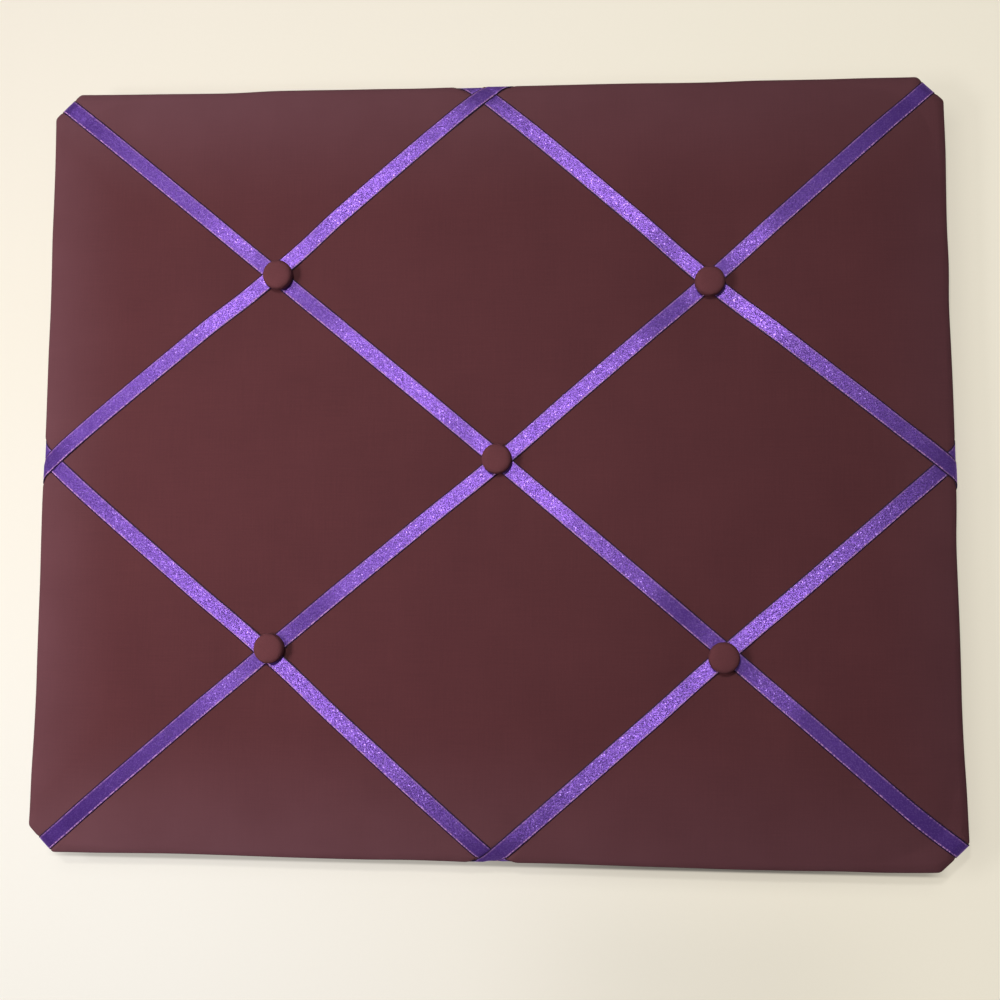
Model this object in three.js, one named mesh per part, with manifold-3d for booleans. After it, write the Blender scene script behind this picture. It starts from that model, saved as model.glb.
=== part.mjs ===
// Padded ribbon board with cut corners. A fibreboard core lies under wadding and cloth, satin ribbons
// cross the front in a lattice, and cloth-covered buttons are sewn through where they cross. A backing
// board covers the back and carries two ring hangers and two bumpers.
// Millimetres. X runs to the right, Z up, the front faces -Y, and the wall is the plane Y = 0.
import * as THREE from 'three';
import { mergeVertices } from 'three/addons/utils/BufferGeometryUtils.js';
import Module from 'manifold-3d';

const wasm = await Module();
wasm.setup();

// Board, over the cloth
const boardWidth = 480;
const boardHeight = 410;
const cornerCut = 13.5;
const edgeRoll = 10;

// Layers
const coreThickness = 9;
const frontWadding = 6.4;
const sideWadding = 3;
const clothThickness = 0.5;
const hemWidth = 24;
const layerGap = 0.3;

// Relief of the padding: pillows between the ribbons, and tufts where the buttons pull down
const pillowRise = 1.4;
const pillowReach = 60;
const pillowEdgeFade = 40;
const channelMargin = 3.5;
const shoulderReach = 26;
const tuftDepth = 3;
const tuftSeatRadius = 12;
const tuftReach = 34;

// Ribbons
const ribbonWidth = 9;
const ribbonThickness = 0.4;
const liftPlateau = 10;
const liftRamp = 12;
const rollLead = 1;

// Where the ribbons cross, from the quarter points and the middle of the board, as laid by hand
const crossingShift = {
  topLeft: [6, -1.4],
  topRight: [-4.1, -7.8],
  centre: [7.6, 0.8],
  bottomLeft: [6.5, 3.2],
  bottomRight: [3.4, 5.3],
};

// Where each button sits, from its crossing
const buttonShift = {
  topLeft: [2.7, -1.3],
  topRight: [0, -0.9],
  centre: [-1.5, 0.6],
  bottomLeft: [2.3, 2.2],
  bottomRight: [-2, -2.1],
};

// Where two ribbons meet at an edge: along it from its middle, to the right or up, and in from it
const edgeMeeting = {
  top: { along: -2.4, inset: 6.3 },
  right: { along: -1, inset: 6.1 },
  bottom: { along: 4.5, inset: 2.5 },
  left: { along: 0.8, inset: 6.2 },
};

// Where a diagonal ribbon leaves over a cut corner: from the middle of the cut, to the right
const cutShift = { topLeft: 0.3, topRight: -1.2, bottomRight: 4.8, bottomLeft: 3.4 };

// Buttons
const buttonDiameter = 15.6;
const buttonHeight = 6;
const buttonSideHeight = 2;
const buttonUnderRound = 1.2;
const buttonTuck = 2.4;
const buttonLayerGap = 0.2;
const capThickness = 0.5;
const plateThickness = 0.6;
const shankRadius = 2.2;

// Twine
const twineDiameter = 1.2;
const twineHoleClearance = 0.3;
const coreHoleDiameter = 5;
const twineTail = 14;
const twineBend = 3;

// Staples
const stapleWire = 0.6;
const stapleWireWidth = 1.2;
const stapleGrip = 5;
const stapleEndMargin = 6;
const stapleHemMargin = 6;
const stapleClearance = 0.3;

// Backing board
const backingThickness = 2;
const backingInset = 14;

// Ring hangers
const hangerInset = 76;
const hangerDrop = 93;
const strapWidth = 10;
const strapSheet = 0.8;
const strapLength = 25;
const strapScrewInset = 7;
const ringWire = 2;
const ringClearance = 0.3;
const ringArm = 5;
const ringCorner = 2;
const ringSplit = 0.4;
const strapFold = (2 * Math.PI) / 3;

// Hanger screws
const screwDiameter = 3.5;
const screwLength = 12;
const screwHeadDiameter = 7;
const screwHeadHeight = 2.2;
const screwHeadTopDiameter = 5;
const screwTip = 2.5;
const screwClearance = 0.3;

// Wall bumpers
const bumperHeight = 4.5;
const bumperDiameter = 12;
const bumperTopDiameter = 9;
const bumperInset = 26;

// Facets
const rollSteps = 4;
const buttonSegments = 14;
const domeSteps = 3;
const roundSegments = 16;
const holeSegments = 8;
const wireSides = 8;
const twineSides = 6;
const ringSteps = 30;
const twineSteps = 16;

// Planes across Y, from the wall to the front
const backingBack = -bumperHeight;
const backingFront = backingBack - backingThickness;
const crownBack = backingFront - layerGap;
const crownFront = crownBack - stapleWire;
const hemBack = crownFront - layerGap - ribbonThickness - layerGap;
const coreBack = hemBack - clothThickness - layerGap;
const coreFront = coreBack - coreThickness;
const padFront = coreFront - layerGap - frontWadding - layerGap - clothThickness;
const seatFront = padFront + tuftDepth;
const buttonBase = seatFront - 2 * (layerGap + ribbonThickness) - layerGap;

// Width of a staple, over a ribbon
const stapleSpan = ribbonWidth + 2 * (stapleClearance + stapleWire);

// Insets of the layers from the outline of the cloth
const waddingInset = clothThickness + layerGap;
const coreInset = waddingInset + sideWadding + layerGap;

const finishes = {
  cloth: { color: 0x5e3237, roughness: 0.9, metalness: 0 },
  ribbon: { color: 0x7a50c0, roughness: 0.35, metalness: 0 },
  wadding: { color: 0xf1eee6, roughness: 1, metalness: 0 },
  fibreboard: { color: 0x9b7a55, roughness: 0.85, metalness: 0 },
  backing: { color: 0x7d5f40, roughness: 0.8, metalness: 0 },
  cap: { color: 0xc9cccf, roughness: 0.35, metalness: 1 },
  plate: { color: 0xe9e7e0, roughness: 0.5, metalness: 0 },
  twine: { color: 0xe4dcc8, roughness: 0.95, metalness: 0 },
  steel: { color: 0xb9bcc0, roughness: 0.3, metalness: 1 },
  brass: { color: 0xc2a05a, roughness: 0.3, metalness: 1 },
  rubber: { color: 0x2a2a2c, roughness: 0.8, metalness: 0 },
};

const memoBoard = new THREE.Group();

// Solids and meshes

function solidOf(geometry) {
  const bare = new THREE.BufferGeometry();
  bare.setAttribute('position', geometry.attributes.position);
  if (geometry.index) bare.setIndex(geometry.index);
  const merged = mergeVertices(bare, 1e-4);
  const at = (i) => new THREE.Vector3().fromBufferAttribute(merged.attributes.position, i);
  const corners = [];
  let volume = 0;
  for (let i = 0; i < merged.index.count; i += 3) {
    const [a, b, c] = [0, 1, 2].map((k) => merged.index.getX(i + k));
    if (a === b || b === c || c === a) continue;
    corners.push([a, b, c]);
    volume += at(a).dot(at(b).cross(at(c)));
  }
  const outward = volume > 0 ? corners : corners.map(([a, b, c]) => [a, c, b]);
  return new wasm.Manifold(new wasm.Mesh({
    numProp: 3,
    vertProperties: new Float32Array(merged.attributes.position.array),
    triVerts: new Uint32Array(outward.flat()),
  }));
}

function geometryOf(solid) {
  const mesh = solid.getMesh();
  const geometry = new THREE.BufferGeometry();
  geometry.setAttribute('position', new THREE.BufferAttribute(new Float32Array(mesh.vertProperties), 3));
  geometry.setIndex(new THREE.BufferAttribute(new Uint32Array(mesh.triVerts), 1));
  geometry.computeVertexNormals();
  return geometry;
}

function addPart(name, solid, finish, parent = memoBoard) {
  const mesh = new THREE.Mesh(geometryOf(solid), new THREE.MeshStandardMaterial(finish));
  mesh.name = name;
  parent.add(mesh);
  return mesh;
}

function subtractAll(solid, cutters) {
  return cutters.reduce((left, cutter) => left.subtract(cutter), solid);
}

// A flat outline in X and Z, from its back plane towards the front
function slab(shape, back, thickness) {
  const geometry = new THREE.ExtrudeGeometry(shape, { depth: thickness, bevelEnabled: false });
  return solidOf(geometry.rotateX(Math.PI / 2).translate(0, back, 0));
}

// A profile of radius and Y, turned about an axis along Y
function turned(profile, x, z, segments) {
  const points = profile.map(([radius, y]) => new THREE.Vector2(radius, y));
  return solidOf(new THREE.LatheGeometry(points, segments).translate(x, 0, z));
}

function rod(radius, back, front, x, z, segments = roundSegments) {
  return turned([[0, front], [radius, front], [radius, back], [0, back]], x, z, segments);
}

// A closed bar of round section along a path
function bentRod(path, diameter, sides, steps) {
  const section = new THREE.Shape().absarc(0, 0, diameter / 2, 0, 2 * Math.PI);
  const settings = { extrudePath: path, steps, curveSegments: sides / 2, bevelEnabled: false };
  return solidOf(new THREE.ExtrudeGeometry(section, settings));
}

// A place such as topLeft, written for use in a part's name
function placeLabel(place) {
  return place.replace(/[A-Z]/, (letter) => `_${letter.toLowerCase()}`);
}

// Outline of the board at an inset from its edge, with cut corners that shrink as it moves in

const leastCut = 0.5;

function cutLeg(inset) {
  return Math.max(cornerCut - inset * (2 - Math.SQRT2), leastCut);
}

function outlineShape(inset) {
  const w = boardWidth / 2 - inset;
  const h = boardHeight / 2 - inset;
  const leg = cutLeg(inset);
  const corners = [
    [-w + leg, -h], [w - leg, -h], [w, -h + leg], [w, h - leg],
    [w - leg, h], [-w + leg, h], [-w, h - leg], [-w, -h + leg],
  ];
  return new THREE.Shape(corners.map(([x, z]) => new THREE.Vector2(x, z)));
}

// The ribbon lattice. Along one set of ribbons p is whole, along the other q is whole, and the board's
// right and top are where p + q and p - q reach 2.

const padWidth = boardWidth - 2 * edgeRoll;
const padHeight = boardHeight - 2 * edgeRoll;
const ribbonPitch = (padWidth * padHeight) / Math.hypot(padWidth, padHeight) / 2;

const latticeReach = Math.hypot(padWidth, padHeight) / 4;

const crossingCell = {
  topLeft: [0, -1],
  topRight: [1, 0],
  centre: [0, 0],
  bottomLeft: [-1, 0],
  bottomRight: [0, 1],
};

function shifted([x, z], [dx, dz]) {
  return [x + dx, z + dz];
}

const crossings = {};
const buttons = {};
for (const [name, [p, q]] of Object.entries(crossingCell)) {
  const nominal = [((p + q) * boardWidth) / 4, ((p - q) * boardHeight) / 4];
  crossings[name] = shifted(nominal, crossingShift[name]);
  buttons[name] = shifted(crossings[name], buttonShift[name]);
}

const latticeNodes = new Map([
  ['1,-1', [edgeMeeting.top.along, padHeight / 2]],
  ['1,1', [padWidth / 2, edgeMeeting.right.along]],
  ['-1,1', [edgeMeeting.bottom.along, -padHeight / 2]],
  ['-1,-1', [-padWidth / 2, edgeMeeting.left.along]],
  ['0,-2', [-padWidth / 2, padHeight / 2]],
  ['2,0', [padWidth / 2, padHeight / 2]],
  ['0,2', [padWidth / 2, -padHeight / 2]],
  ['-2,0', [-padWidth / 2, -padHeight / 2]],
]);
for (const [name, [p, q]] of Object.entries(crossingCell)) {
  latticeNodes.set(`${p},${q}`, crossings[name]);
}

// Place of a lattice point: bilinear in its cell, whose node outside the board completes a parallelogram
function latticePoint(p, q) {
  const floorInside = (v) => (v > 0 ? Math.ceil(v) - 1 : Math.floor(v));
  const p0 = floorInside(p);
  const q0 = floorInside(q);
  const node = (i, j) => latticeNodes.get(`${p0 + i},${q0 + j}`);
  const cell = [[node(0, 0), node(1, 0)], [node(0, 1), node(1, 1)]];
  for (const j of [0, 1]) {
    for (const i of [0, 1]) {
      const [besideP, besideQ, opposite] = [cell[j][1 - i], cell[1 - j][i], cell[1 - j][1 - i]];
      cell[j][i] ??= besideP.map((v, k) => v + besideQ[k] - opposite[k]);
    }
  }
  const [fp, fq] = [p - p0, q - q0];
  const mix = (a, b, t) => a.map((v, k) => v + (b[k] - v) * t);
  return mix(mix(cell[0][0], cell[0][1], fp), mix(cell[1][0], cell[1][1], fp), fq);
}

// Lattice lines: on each ribbon, at the channel's edge and shoulder, and midway between ribbons
const channelStep = (ribbonWidth / 2 + channelMargin) / ribbonPitch;
const shoulderStep = shoulderReach / ribbonPitch;
const unitSteps = [0, channelStep, shoulderStep, 0.5, 1 - shoulderStep, 1 - channelStep];
const latticeLines = [-2, -1, 0, 1].flatMap((unit) => unitSteps.map((step) => unit + step)).concat(2);
const latticeTolerance = 1e-6;

// Front of the padding

function ease(value) {
  const t = Math.min(Math.max(value, 0), 1);
  return t * t * (3 - 2 * t);
}

function tuftSink([x, z]) {
  const near = Math.min(...Object.values(crossings).map(([cx, cz]) => Math.hypot(x - cx, z - cz)));
  return tuftDepth * (1 - ease((near - tuftSeatRadius) / (tuftReach - tuftSeatRadius)));
}

function pillowHeight(p, q, [x, z]) {
  const channel = ribbonWidth / 2 + channelMargin;
  const rise = (v) => ease((Math.abs(v - Math.round(v)) * ribbonPitch - channel) / (pillowReach - channel));
  const fromEdge = Math.min(padWidth / 2 - Math.abs(x), padHeight / 2 - Math.abs(z));
  return pillowRise * rise(p) * rise(q) * ease(fromEdge / pillowEdgeFade);
}

// The sides of the board, clockwise from the top as seen from the front, with each side's lattice walk
function boardSide(normal, breadth, length, from, step) {
  const tangent = [normal[1], -normal[0]];
  return { normal, tangent, reach: breadth / 2, span: length / 2, from, step };
}

const sides = {
  top: boardSide([0, 1], boardHeight, boardWidth, [0, -2], [1, 1]),
  right: boardSide([1, 0], boardWidth, boardHeight, [2, 0], [-1, 1]),
  bottom: boardSide([0, -1], boardHeight, boardWidth, [0, 2], [-1, -1]),
  left: boardSide([-1, 0], boardWidth, boardHeight, [-2, 0], [1, -1]),
};

function onSide(side, along, inset) {
  return side.normal.map((n, k) => n * (side.reach - inset) + side.tangent[k] * along);
}

// One loop of points round the board at an inset, each below the lattice line that ends there
function outlineLoop(inset) {
  const walk = latticeLines.filter((s) => s >= 0 && s < 2);
  const list = Object.values(sides);
  return list.flatMap((side, k) => {
    const before = list[(k + 3) % 4];
    const end = (s) => s.span - inset - cutLeg(inset);
    const first = onSide(side, -end(side), inset);
    const last = onSide(before, end(before), inset);
    return walk.map((s, i) => {
      if (i === 0) return first.map((v, j) => (v + last[j]) / 2);
      if (i === 1) return first;
      if (i === walk.length - 1) return onSide(side, end(side), inset);
      const [x, z] = latticePoint(side.from[0] + side.step[0] * s, side.from[1] + side.step[1] * s);
      return onSide(side, x * side.tangent[0] + z * side.tangent[1], inset);
    });
  });
}

// The padded body, sunk below the cloth's outer face by a depth, down to a flat back
function paddedBody(sink, back) {
  const points = [];
  const faces = [];
  const add = ([x, z], y) => points.push([x, y, z]) - 1;
  const rimPoints = outlineLoop(edgeRoll);
  const withinRim = (p, q) => Math.max(Math.abs(p + q), Math.abs(p - q)) < 2 - latticeTolerance;

  const rim = rimPoints.map((point) => add(point, padFront + sink));
  const key = (p, q) => `${p.toFixed(5)},${q.toFixed(5)}`.replaceAll('-0.00000', '0.00000');
  const front = new Map();
  const walk = latticeLines.filter((s) => s >= 0 && s < 2);
  Object.values(sides).forEach((side, k) => walk.forEach((s, i) => {
    const [p, q] = side.from.map((v, j) => v + side.step[j] * s);
    front.set(key(p, q), rim[k * walk.length + i]);
  }));
  for (const p of latticeLines) {
    for (const q of latticeLines) {
      if (!withinRim(p, q)) continue;
      const place = latticePoint(p, q);
      front.set(key(p, q), add(place, padFront + sink + tuftSink(place) - pillowHeight(p, q, place)));
    }
  }
  for (let i = 0; i + 1 < latticeLines.length; i++) {
    for (let j = 0; j + 1 < latticeLines.length; j++) {
      const [p0, p1] = [latticeLines[i], latticeLines[i + 1]];
      const [q0, q1] = [latticeLines[j], latticeLines[j + 1]];
      const around = [[p0, q0], [p0, q1], [p1, q1], [p1, q0]].map(([p, q]) => front.get(key(p, q)));
      const [a, b, c, d] = around.filter((corner) => corner !== undefined);
      if (c !== undefined) faces.push([a, b, c]);
      if (d !== undefined) faces.push([a, c, d]);
    }
  }

  const radius = edgeRoll - sink;
  const rings = [rim];
  for (let i = 1; i <= rollSteps; i++) {
    const turn = ((Math.PI / 2) * i) / rollSteps;
    const loop = outlineLoop(edgeRoll - radius * Math.sin(turn));
    rings.push(loop.map((point) => add(point, padFront + edgeRoll - radius * Math.cos(turn))));
  }
  rings.push(outlineLoop(sink).map((point) => add(point, back)));
  for (let i = 0; i + 1 < rings.length; i++) {
    const [inner, outer] = [rings[i], rings[i + 1]];
    inner.forEach((_, k) => {
      const next = (k + 1) % inner.length;
      faces.push([inner[k], inner[next], outer[next]], [inner[k], outer[next], outer[k]]);
    });
  }
  const heart = add([0, 0], back);
  const last = rings.at(-1);
  last.forEach((corner, k) => faces.push([heart, corner, last[(k + 1) % last.length]]));

  const geometry = new THREE.BufferGeometry();
  geometry.setAttribute('position', new THREE.Float32BufferAttribute(points.flat(), 3));
  geometry.setIndex(faces.flat());
  return solidOf(geometry);
}

// Ribbons lie on the cloth and wrap over the edges. Past the start of the edge roll, a ribbon's straight
// course is carried on round the roll, down the side and in across the back.

function dot([a, b], [c, d]) {
  return a * c + b * d;
}

function between(a, b, fraction) {
  return a.map((v, k) => v + (b[k] - v) * fraction);
}

function headingFrom(a, b) {
  const length = Math.hypot(b[0] - a[0], b[1] - a[1]);
  return a.map((v, k) => (b[k] - v) / length);
}

function cutEdge(right, up) {
  const normal = [right * Math.SQRT1_2, up * Math.SQRT1_2];
  const tangent = [Math.SQRT1_2, -right * up * Math.SQRT1_2];
  const middle = [(right * (boardWidth - cornerCut)) / 2, (up * (boardHeight - cornerCut)) / 2];
  return { normal, tangent, reach: dot(middle, normal), middle: dot(middle, tangent) };
}

const cuts = {
  topLeft: cutEdge(-1, 1),
  topRight: cutEdge(1, 1),
  bottomRight: cutEdge(1, -1),
  bottomLeft: cutEdge(-1, -1),
};

const rollLength = (edgeRoll * Math.PI) / 2;
const sideLength = hemBack - padFront - edgeRoll;
const wrapLength = rollLength + sideLength;

// The point at a travel past the start of the roll, a distance along the edge and a height off the cloth
function wrapPoint(edge, travel, along, height) {
  let inset = edgeRoll - travel;
  let y = padFront - height;
  if (travel >= wrapLength) {
    inset = travel > wrapLength ? travel - wrapLength : -height;
    y = hemBack + height;
  } else if (travel > rollLength) {
    inset = -height;
    y = padFront + edgeRoll + travel - rollLength;
  } else if (travel > 0) {
    const turn = travel / edgeRoll;
    inset = edgeRoll - (edgeRoll + height) * Math.sin(turn);
    y = padFront + edgeRoll - (edgeRoll + height) * Math.cos(turn);
  }
  const [x, z] = onSide(edge, along, inset);
  return new THREE.Vector3(x, y, z);
}

// Where a tail is stapled: as far in from its edge as both legs of the staple need to clear the hem
function stapleHold(turnIn, inward, crown) {
  const reaches = Object.values(sides).flatMap((side) => [-1, 1].map((leg) => {
    const foot = shifted(turnIn, crown.map((v) => (v * leg * stapleSpan) / 2));
    const excess = dot(foot, side.normal) - side.reach + hemWidth + stapleHemMargin;
    const gain = -dot(inward, side.normal);
    return gain > 0 ? excess / gain : 0;
  }));
  return shifted(turnIn, inward.map((v) => v * Math.max(...reaches)));
}

// One end of a ribbon, from its crossing out over an edge and round to the tail on the back
function ribbonEnd(crossing, { edge, target }, overlaid) {
  const course = headingFrom(crossing, target);
  const across = [-course[1], course[0]];
  const travelOf = (point) => dot(point, edge.normal) - edge.reach + edgeRoll;
  const meeting = travelOf(target);
  const halfAlong = ribbonWidth / 2 / dot(edge.tangent, across);
  const centreAlong = (travel) => {
    const run = (travel - travelOf(crossing)) / dot(course, edge.normal);
    return dot(crossing, edge.tangent) + run * dot(course, edge.tangent);
  };
  const lift = (travel) => {
    const past = (Math.abs(travel - meeting) - liftPlateau) / liftRamp;
    return overlaid ? (layerGap + ribbonThickness) * (1 - Math.min(Math.max(past, 0), 1)) : 0;
  };
  const front = [meeting - liftPlateau - liftRamp, Math.min(meeting - liftPlateau, -rollLead), 0];
  const roll = Array.from({ length: rollSteps }, (_, i) => (rollLength * (i + 1)) / rollSteps);
  const inward = course.map((v, k) => v - 2 * dot(course, edge.normal) * edge.normal[k]);
  const crown = [-inward[1], inward[0]];
  const turnIn = onSide(edge, centreAlong(wrapLength), 0);
  const hold = stapleHold(turnIn, inward, crown);
  const tailEnd = shifted(hold, inward.map((v) => v * stapleEndMargin));
  const travels = [...front, ...roll, wrapLength, wrapLength + edge.reach - dot(tailEnd, edge.normal)];
  const sections = travels.map((travel) => {
    const middle = centreAlong(travel);
    const low = layerGap + lift(travel);
    const high = low + ribbonThickness;
    const [near, far] = [middle + halfAlong, middle - halfAlong];
    return [wrapPoint(edge, travel, near, low), wrapPoint(edge, travel, far, low),
      wrapPoint(edge, travel, far, high), wrapPoint(edge, travel, near, high)];
  });
  return { sections, course, hold, crown };
}

// A flat section square to the course, on the cloth at a point between two ends
function ribbonSection(point, course, raised) {
  const across = [-course[1] * ribbonWidth / 2, course[0] * ribbonWidth / 2];
  const low = padFront + tuftSink(point) - layerGap - (raised ? layerGap + ribbonThickness : 0);
  const high = low - ribbonThickness;
  const place = (sign, y) => new THREE.Vector3(point[0] + sign * across[0], y, point[1] + sign * across[1]);
  return [place(1, low), place(-1, low), place(-1, high), place(1, high)];
}

// A closed strip through a list of four-cornered sections
function strip(sections) {
  const points = sections.flat();
  const faces = [[0, 1, 2], [0, 2, 3]];
  for (let i = 0; i + 1 < sections.length; i++) {
    for (let k = 0; k < 4; k++) {
      const [a, b] = [4 * i + k, 4 * i + ((k + 1) % 4)];
      faces.push([a, a + 4, b + 4], [a, b + 4, b]);
    }
  }
  const e = points.length - 4;
  faces.push([e, e + 2, e + 1], [e, e + 3, e + 2]);
  const geometry = new THREE.BufferGeometry().setFromPoints(points);
  geometry.setIndex(faces.flat());
  return solidOf(geometry);
}

// Ribbons in the order in which they are laid. Each runs from one edge to another over its crossings,
// and over says where it lies on top of the ribbon that it meets.
const ribbonCourses = {
  falling_diagonal: {
    ends: ['topLeft', 'bottomRight'],
    crosses: ['topLeft', 'centre', 'bottomRight'],
    over: [],
  },
  rising_diagonal: {
    ends: ['bottomLeft', 'topRight'],
    crosses: ['bottomLeft', 'centre', 'topRight'],
    over: ['centre'],
  },
  bottom_left: { ends: ['left', 'bottom'], crosses: ['bottomLeft'], over: ['bottomLeft'] },
  bottom_right: { ends: ['bottom', 'right'], crosses: ['bottomRight'], over: ['bottomRight', 'bottom'] },
  top_right: { ends: ['top', 'right'], crosses: ['topRight'], over: ['topRight', 'right'] },
  top_left: { ends: ['left', 'top'], crosses: ['topLeft'], over: ['topLeft', 'left', 'top'] },
};

// The edge a ribbon leaves over, and the point where it does so on the flat
function leaving(place) {
  if (cuts[place]) {
    const edge = cuts[place];
    return { edge, target: onSide(edge, edge.middle + cutShift[place], 0) };
  }
  const edge = sides[place];
  const { along, inset } = edgeMeeting[place];
  return { edge, target: onSide(edge, along * (edge.tangent[0] + edge.tangent[1]), inset) };
}

const endSteps = [channelStep, shoulderStep, 0.5];
const innerSteps = [channelStep, shoulderStep, 0.5, 1 - shoulderStep, 1 - channelStep];

// Sections of a whole ribbon, from its tail at one edge to its tail at the other
function ribbonSections(knots, raised, start, finish) {
  const mirrored = ([a, b, c, d]) => [b, a, d, c];
  const nearEnd = (end, knot, overKnot, step) => {
    const point = shifted(knot, end.course.map((v) => v * latticeReach * step));
    return ribbonSection(point, end.course, overKnot && step === channelStep);
  };
  const sections = start.sections.map(mirrored).toReversed();
  for (const step of endSteps.toReversed()) {
    sections.push(mirrored(nearEnd(start, knots[0], raised[0], step)));
  }
  knots.forEach((knot, i) => {
    const next = knots[i + 1];
    const before = i === 0 ? start.course.map((v) => -v) : headingFrom(knots[i - 1], knot);
    const after = next ? headingFrom(knot, next) : finish.course;
    sections.push(ribbonSection(knot, headingFrom([0, 0], shifted(before, after)), raised[i]));
    if (!next) return;
    for (const step of innerSteps) {
      const overThis = step === channelStep && raised[i];
      const overNext = step === 1 - channelStep && raised[i + 1];
      sections.push(ribbonSection(between(knot, next, step), after, overThis || overNext));
    }
  });
  for (const step of endSteps) sections.push(nearEnd(finish, knots.at(-1), raised.at(-1), step));
  return [...sections, ...finish.sections];
}

const twineHole = twineDiameter / 2 + twineHoleClearance;
const twineCutters = {};
for (const [place, [x, z]] of Object.entries(buttons)) {
  twineCutters[place] = rod(twineHole, coreBack, buttonBase, x, z, holeSegments);
}

const tailHolds = [];
for (const [label, { ends, crosses, over }] of Object.entries(ribbonCourses)) {
  const knots = crosses.map((place) => crossings[place]);
  const raised = crosses.map((place) => over.includes(place));
  const start = ribbonEnd(knots[0], leaving(ends[0]), over.includes(ends[0]));
  const finish = ribbonEnd(knots.at(-1), leaving(ends[1]), over.includes(ends[1]));
  const holes = crosses.map((place) => twineCutters[place]);
  const ribbon = strip(ribbonSections(knots, raised, start, finish));
  addPart(`ribbon_${label}`, subtractAll(ribbon, holes), finishes.ribbon);
  tailHolds.push({ label: `${label}_${placeLabel(ends[0])}`, hold: start.hold, crown: start.crown });
  tailHolds.push({ label: `${label}_${placeLabel(ends[1])}`, hold: finish.hold, crown: finish.crown });
}

// Cloth cover: a skin over the padding, turned in on the back as an open hem

const hemOpening = slab(outlineShape(hemWidth), hemBack + clothThickness, 3 * clothThickness);
const skin = paddedBody(0, hemBack).subtract(paddedBody(clothThickness, hemBack - clothThickness));
const twineHoles = Object.values(twineCutters);
addPart('cloth_cover', subtractAll(skin, [hemOpening, ...twineHoles]), finishes.cloth);

// Wadding: over the front and round the sides of the core

const coreRoom = slab(outlineShape(coreInset - layerGap), coreBack + layerGap, coreThickness + 2 * layerGap);
const batt = paddedBody(waddingInset, coreBack);
addPart('wadding', subtractAll(batt, [coreRoom, ...twineHoles]), finishes.wadding);

// Buttons: a metal cap in its cloth, a back plate with a sewn shank, and the twine that pulls it down

function dome(radius, side, top) {
  return Array.from({ length: domeSteps + 1 }, (_, i) => {
    const angle = ((Math.PI / 2) * i) / domeSteps;
    return [radius * Math.cos(angle), side + (top - side) * Math.sin(angle)];
  });
}

function buttonLayer(inset, tuck) {
  const radius = buttonDiameter / 2 - inset;
  const rim = [[radius - tuck, inset], [radius - buttonUnderRound, inset]];
  return [...rim, ...dome(radius, buttonSideHeight, buttonHeight - inset)];
}

const toFront = (profile) => profile.map(([radius, height]) => [Math.max(radius, 0), buttonBase - height]);
const capInset = clothThickness + buttonLayerGap;
const capInside = capInset + capThickness;
const rimWidth = Math.max(buttonTuck, capInside + buttonUnderRound);
const plateRadius = buttonDiameter / 2 - rimWidth - buttonLayerGap;
const plateBase = clothThickness + buttonLayerGap;
const shankBase = layerGap;

const clothProfile = [
  ...buttonLayer(0, buttonTuck),
  ...buttonLayer(clothThickness, buttonTuck - clothThickness).toReversed(),
];
const capProfile = [
  ...buttonLayer(capInset, buttonUnderRound),
  ...buttonLayer(capInside, buttonUnderRound).toReversed(),
];
const plateProfile = [
  [0, shankBase], [shankRadius, shankBase], [shankRadius, plateBase], [plateRadius, plateBase],
  [plateRadius, plateBase + plateThickness], [0, plateBase + plateThickness],
];
const closedProfile = (profile) => [...profile, profile[0]];

const twineBack = coreBack + layerGap + twineDiameter / 2;

// The twine runs back through the core, bends over and lies along the back under its staple
function twineSolid(x, z) {
  const front = new THREE.Vector3(x, buttonBase, z);
  const bendStart = new THREE.Vector3(x, twineBack - twineBend, z);
  const corner = new THREE.Vector3(x, twineBack, z);
  const bendEnd = new THREE.Vector3(x, twineBack, z - twineBend);
  const end = new THREE.Vector3(x, twineBack, z - twineBend - twineTail);
  const path = new THREE.CurvePath();
  path.add(new THREE.LineCurve3(front, bendStart));
  path.add(new THREE.QuadraticBezierCurve3(bendStart, corner, bendEnd));
  path.add(new THREE.LineCurve3(bendEnd, end));
  return bentRod(path, twineDiameter, twineSides, twineSteps);
}

for (const [place, [x, z]] of Object.entries(buttons)) {
  const label = placeLabel(place);
  const layer = (profile) => turned(toFront(profile), x, z, buttonSegments);
  addPart(`button_cloth_${label}`, layer(closedProfile(clothProfile)), finishes.cloth);
  addPart(`button_cap_${label}`, layer(closedProfile(capProfile)), finishes.cap);
  addPart(`button_plate_${label}`, layer(plateProfile), finishes.plate);
  addPart(`button_twine_${label}`, twineSolid(x, z), finishes.twine);
}

// Staples: one across each ribbon tail and one across each twine

const stapleTip = coreBack - stapleGrip;

function stapleSolid() {
  const [outer, inner] = [stapleSpan / 2, stapleSpan / 2 - stapleWire];
  const outline = [
    [-outer, crownBack], [-outer, stapleTip], [-inner, stapleTip], [-inner, crownFront],
    [inner, crownFront], [inner, stapleTip], [outer, stapleTip], [outer, crownBack],
  ];
  const shape = new THREE.Shape(outline.map(([x, y]) => new THREE.Vector2(x, y)));
  const geometry = new THREE.ExtrudeGeometry(shape, { depth: stapleWireWidth, bevelEnabled: false });
  return solidOf(geometry.translate(0, 0, -stapleWireWidth / 2));
}

const stapleCutters = [];

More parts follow.
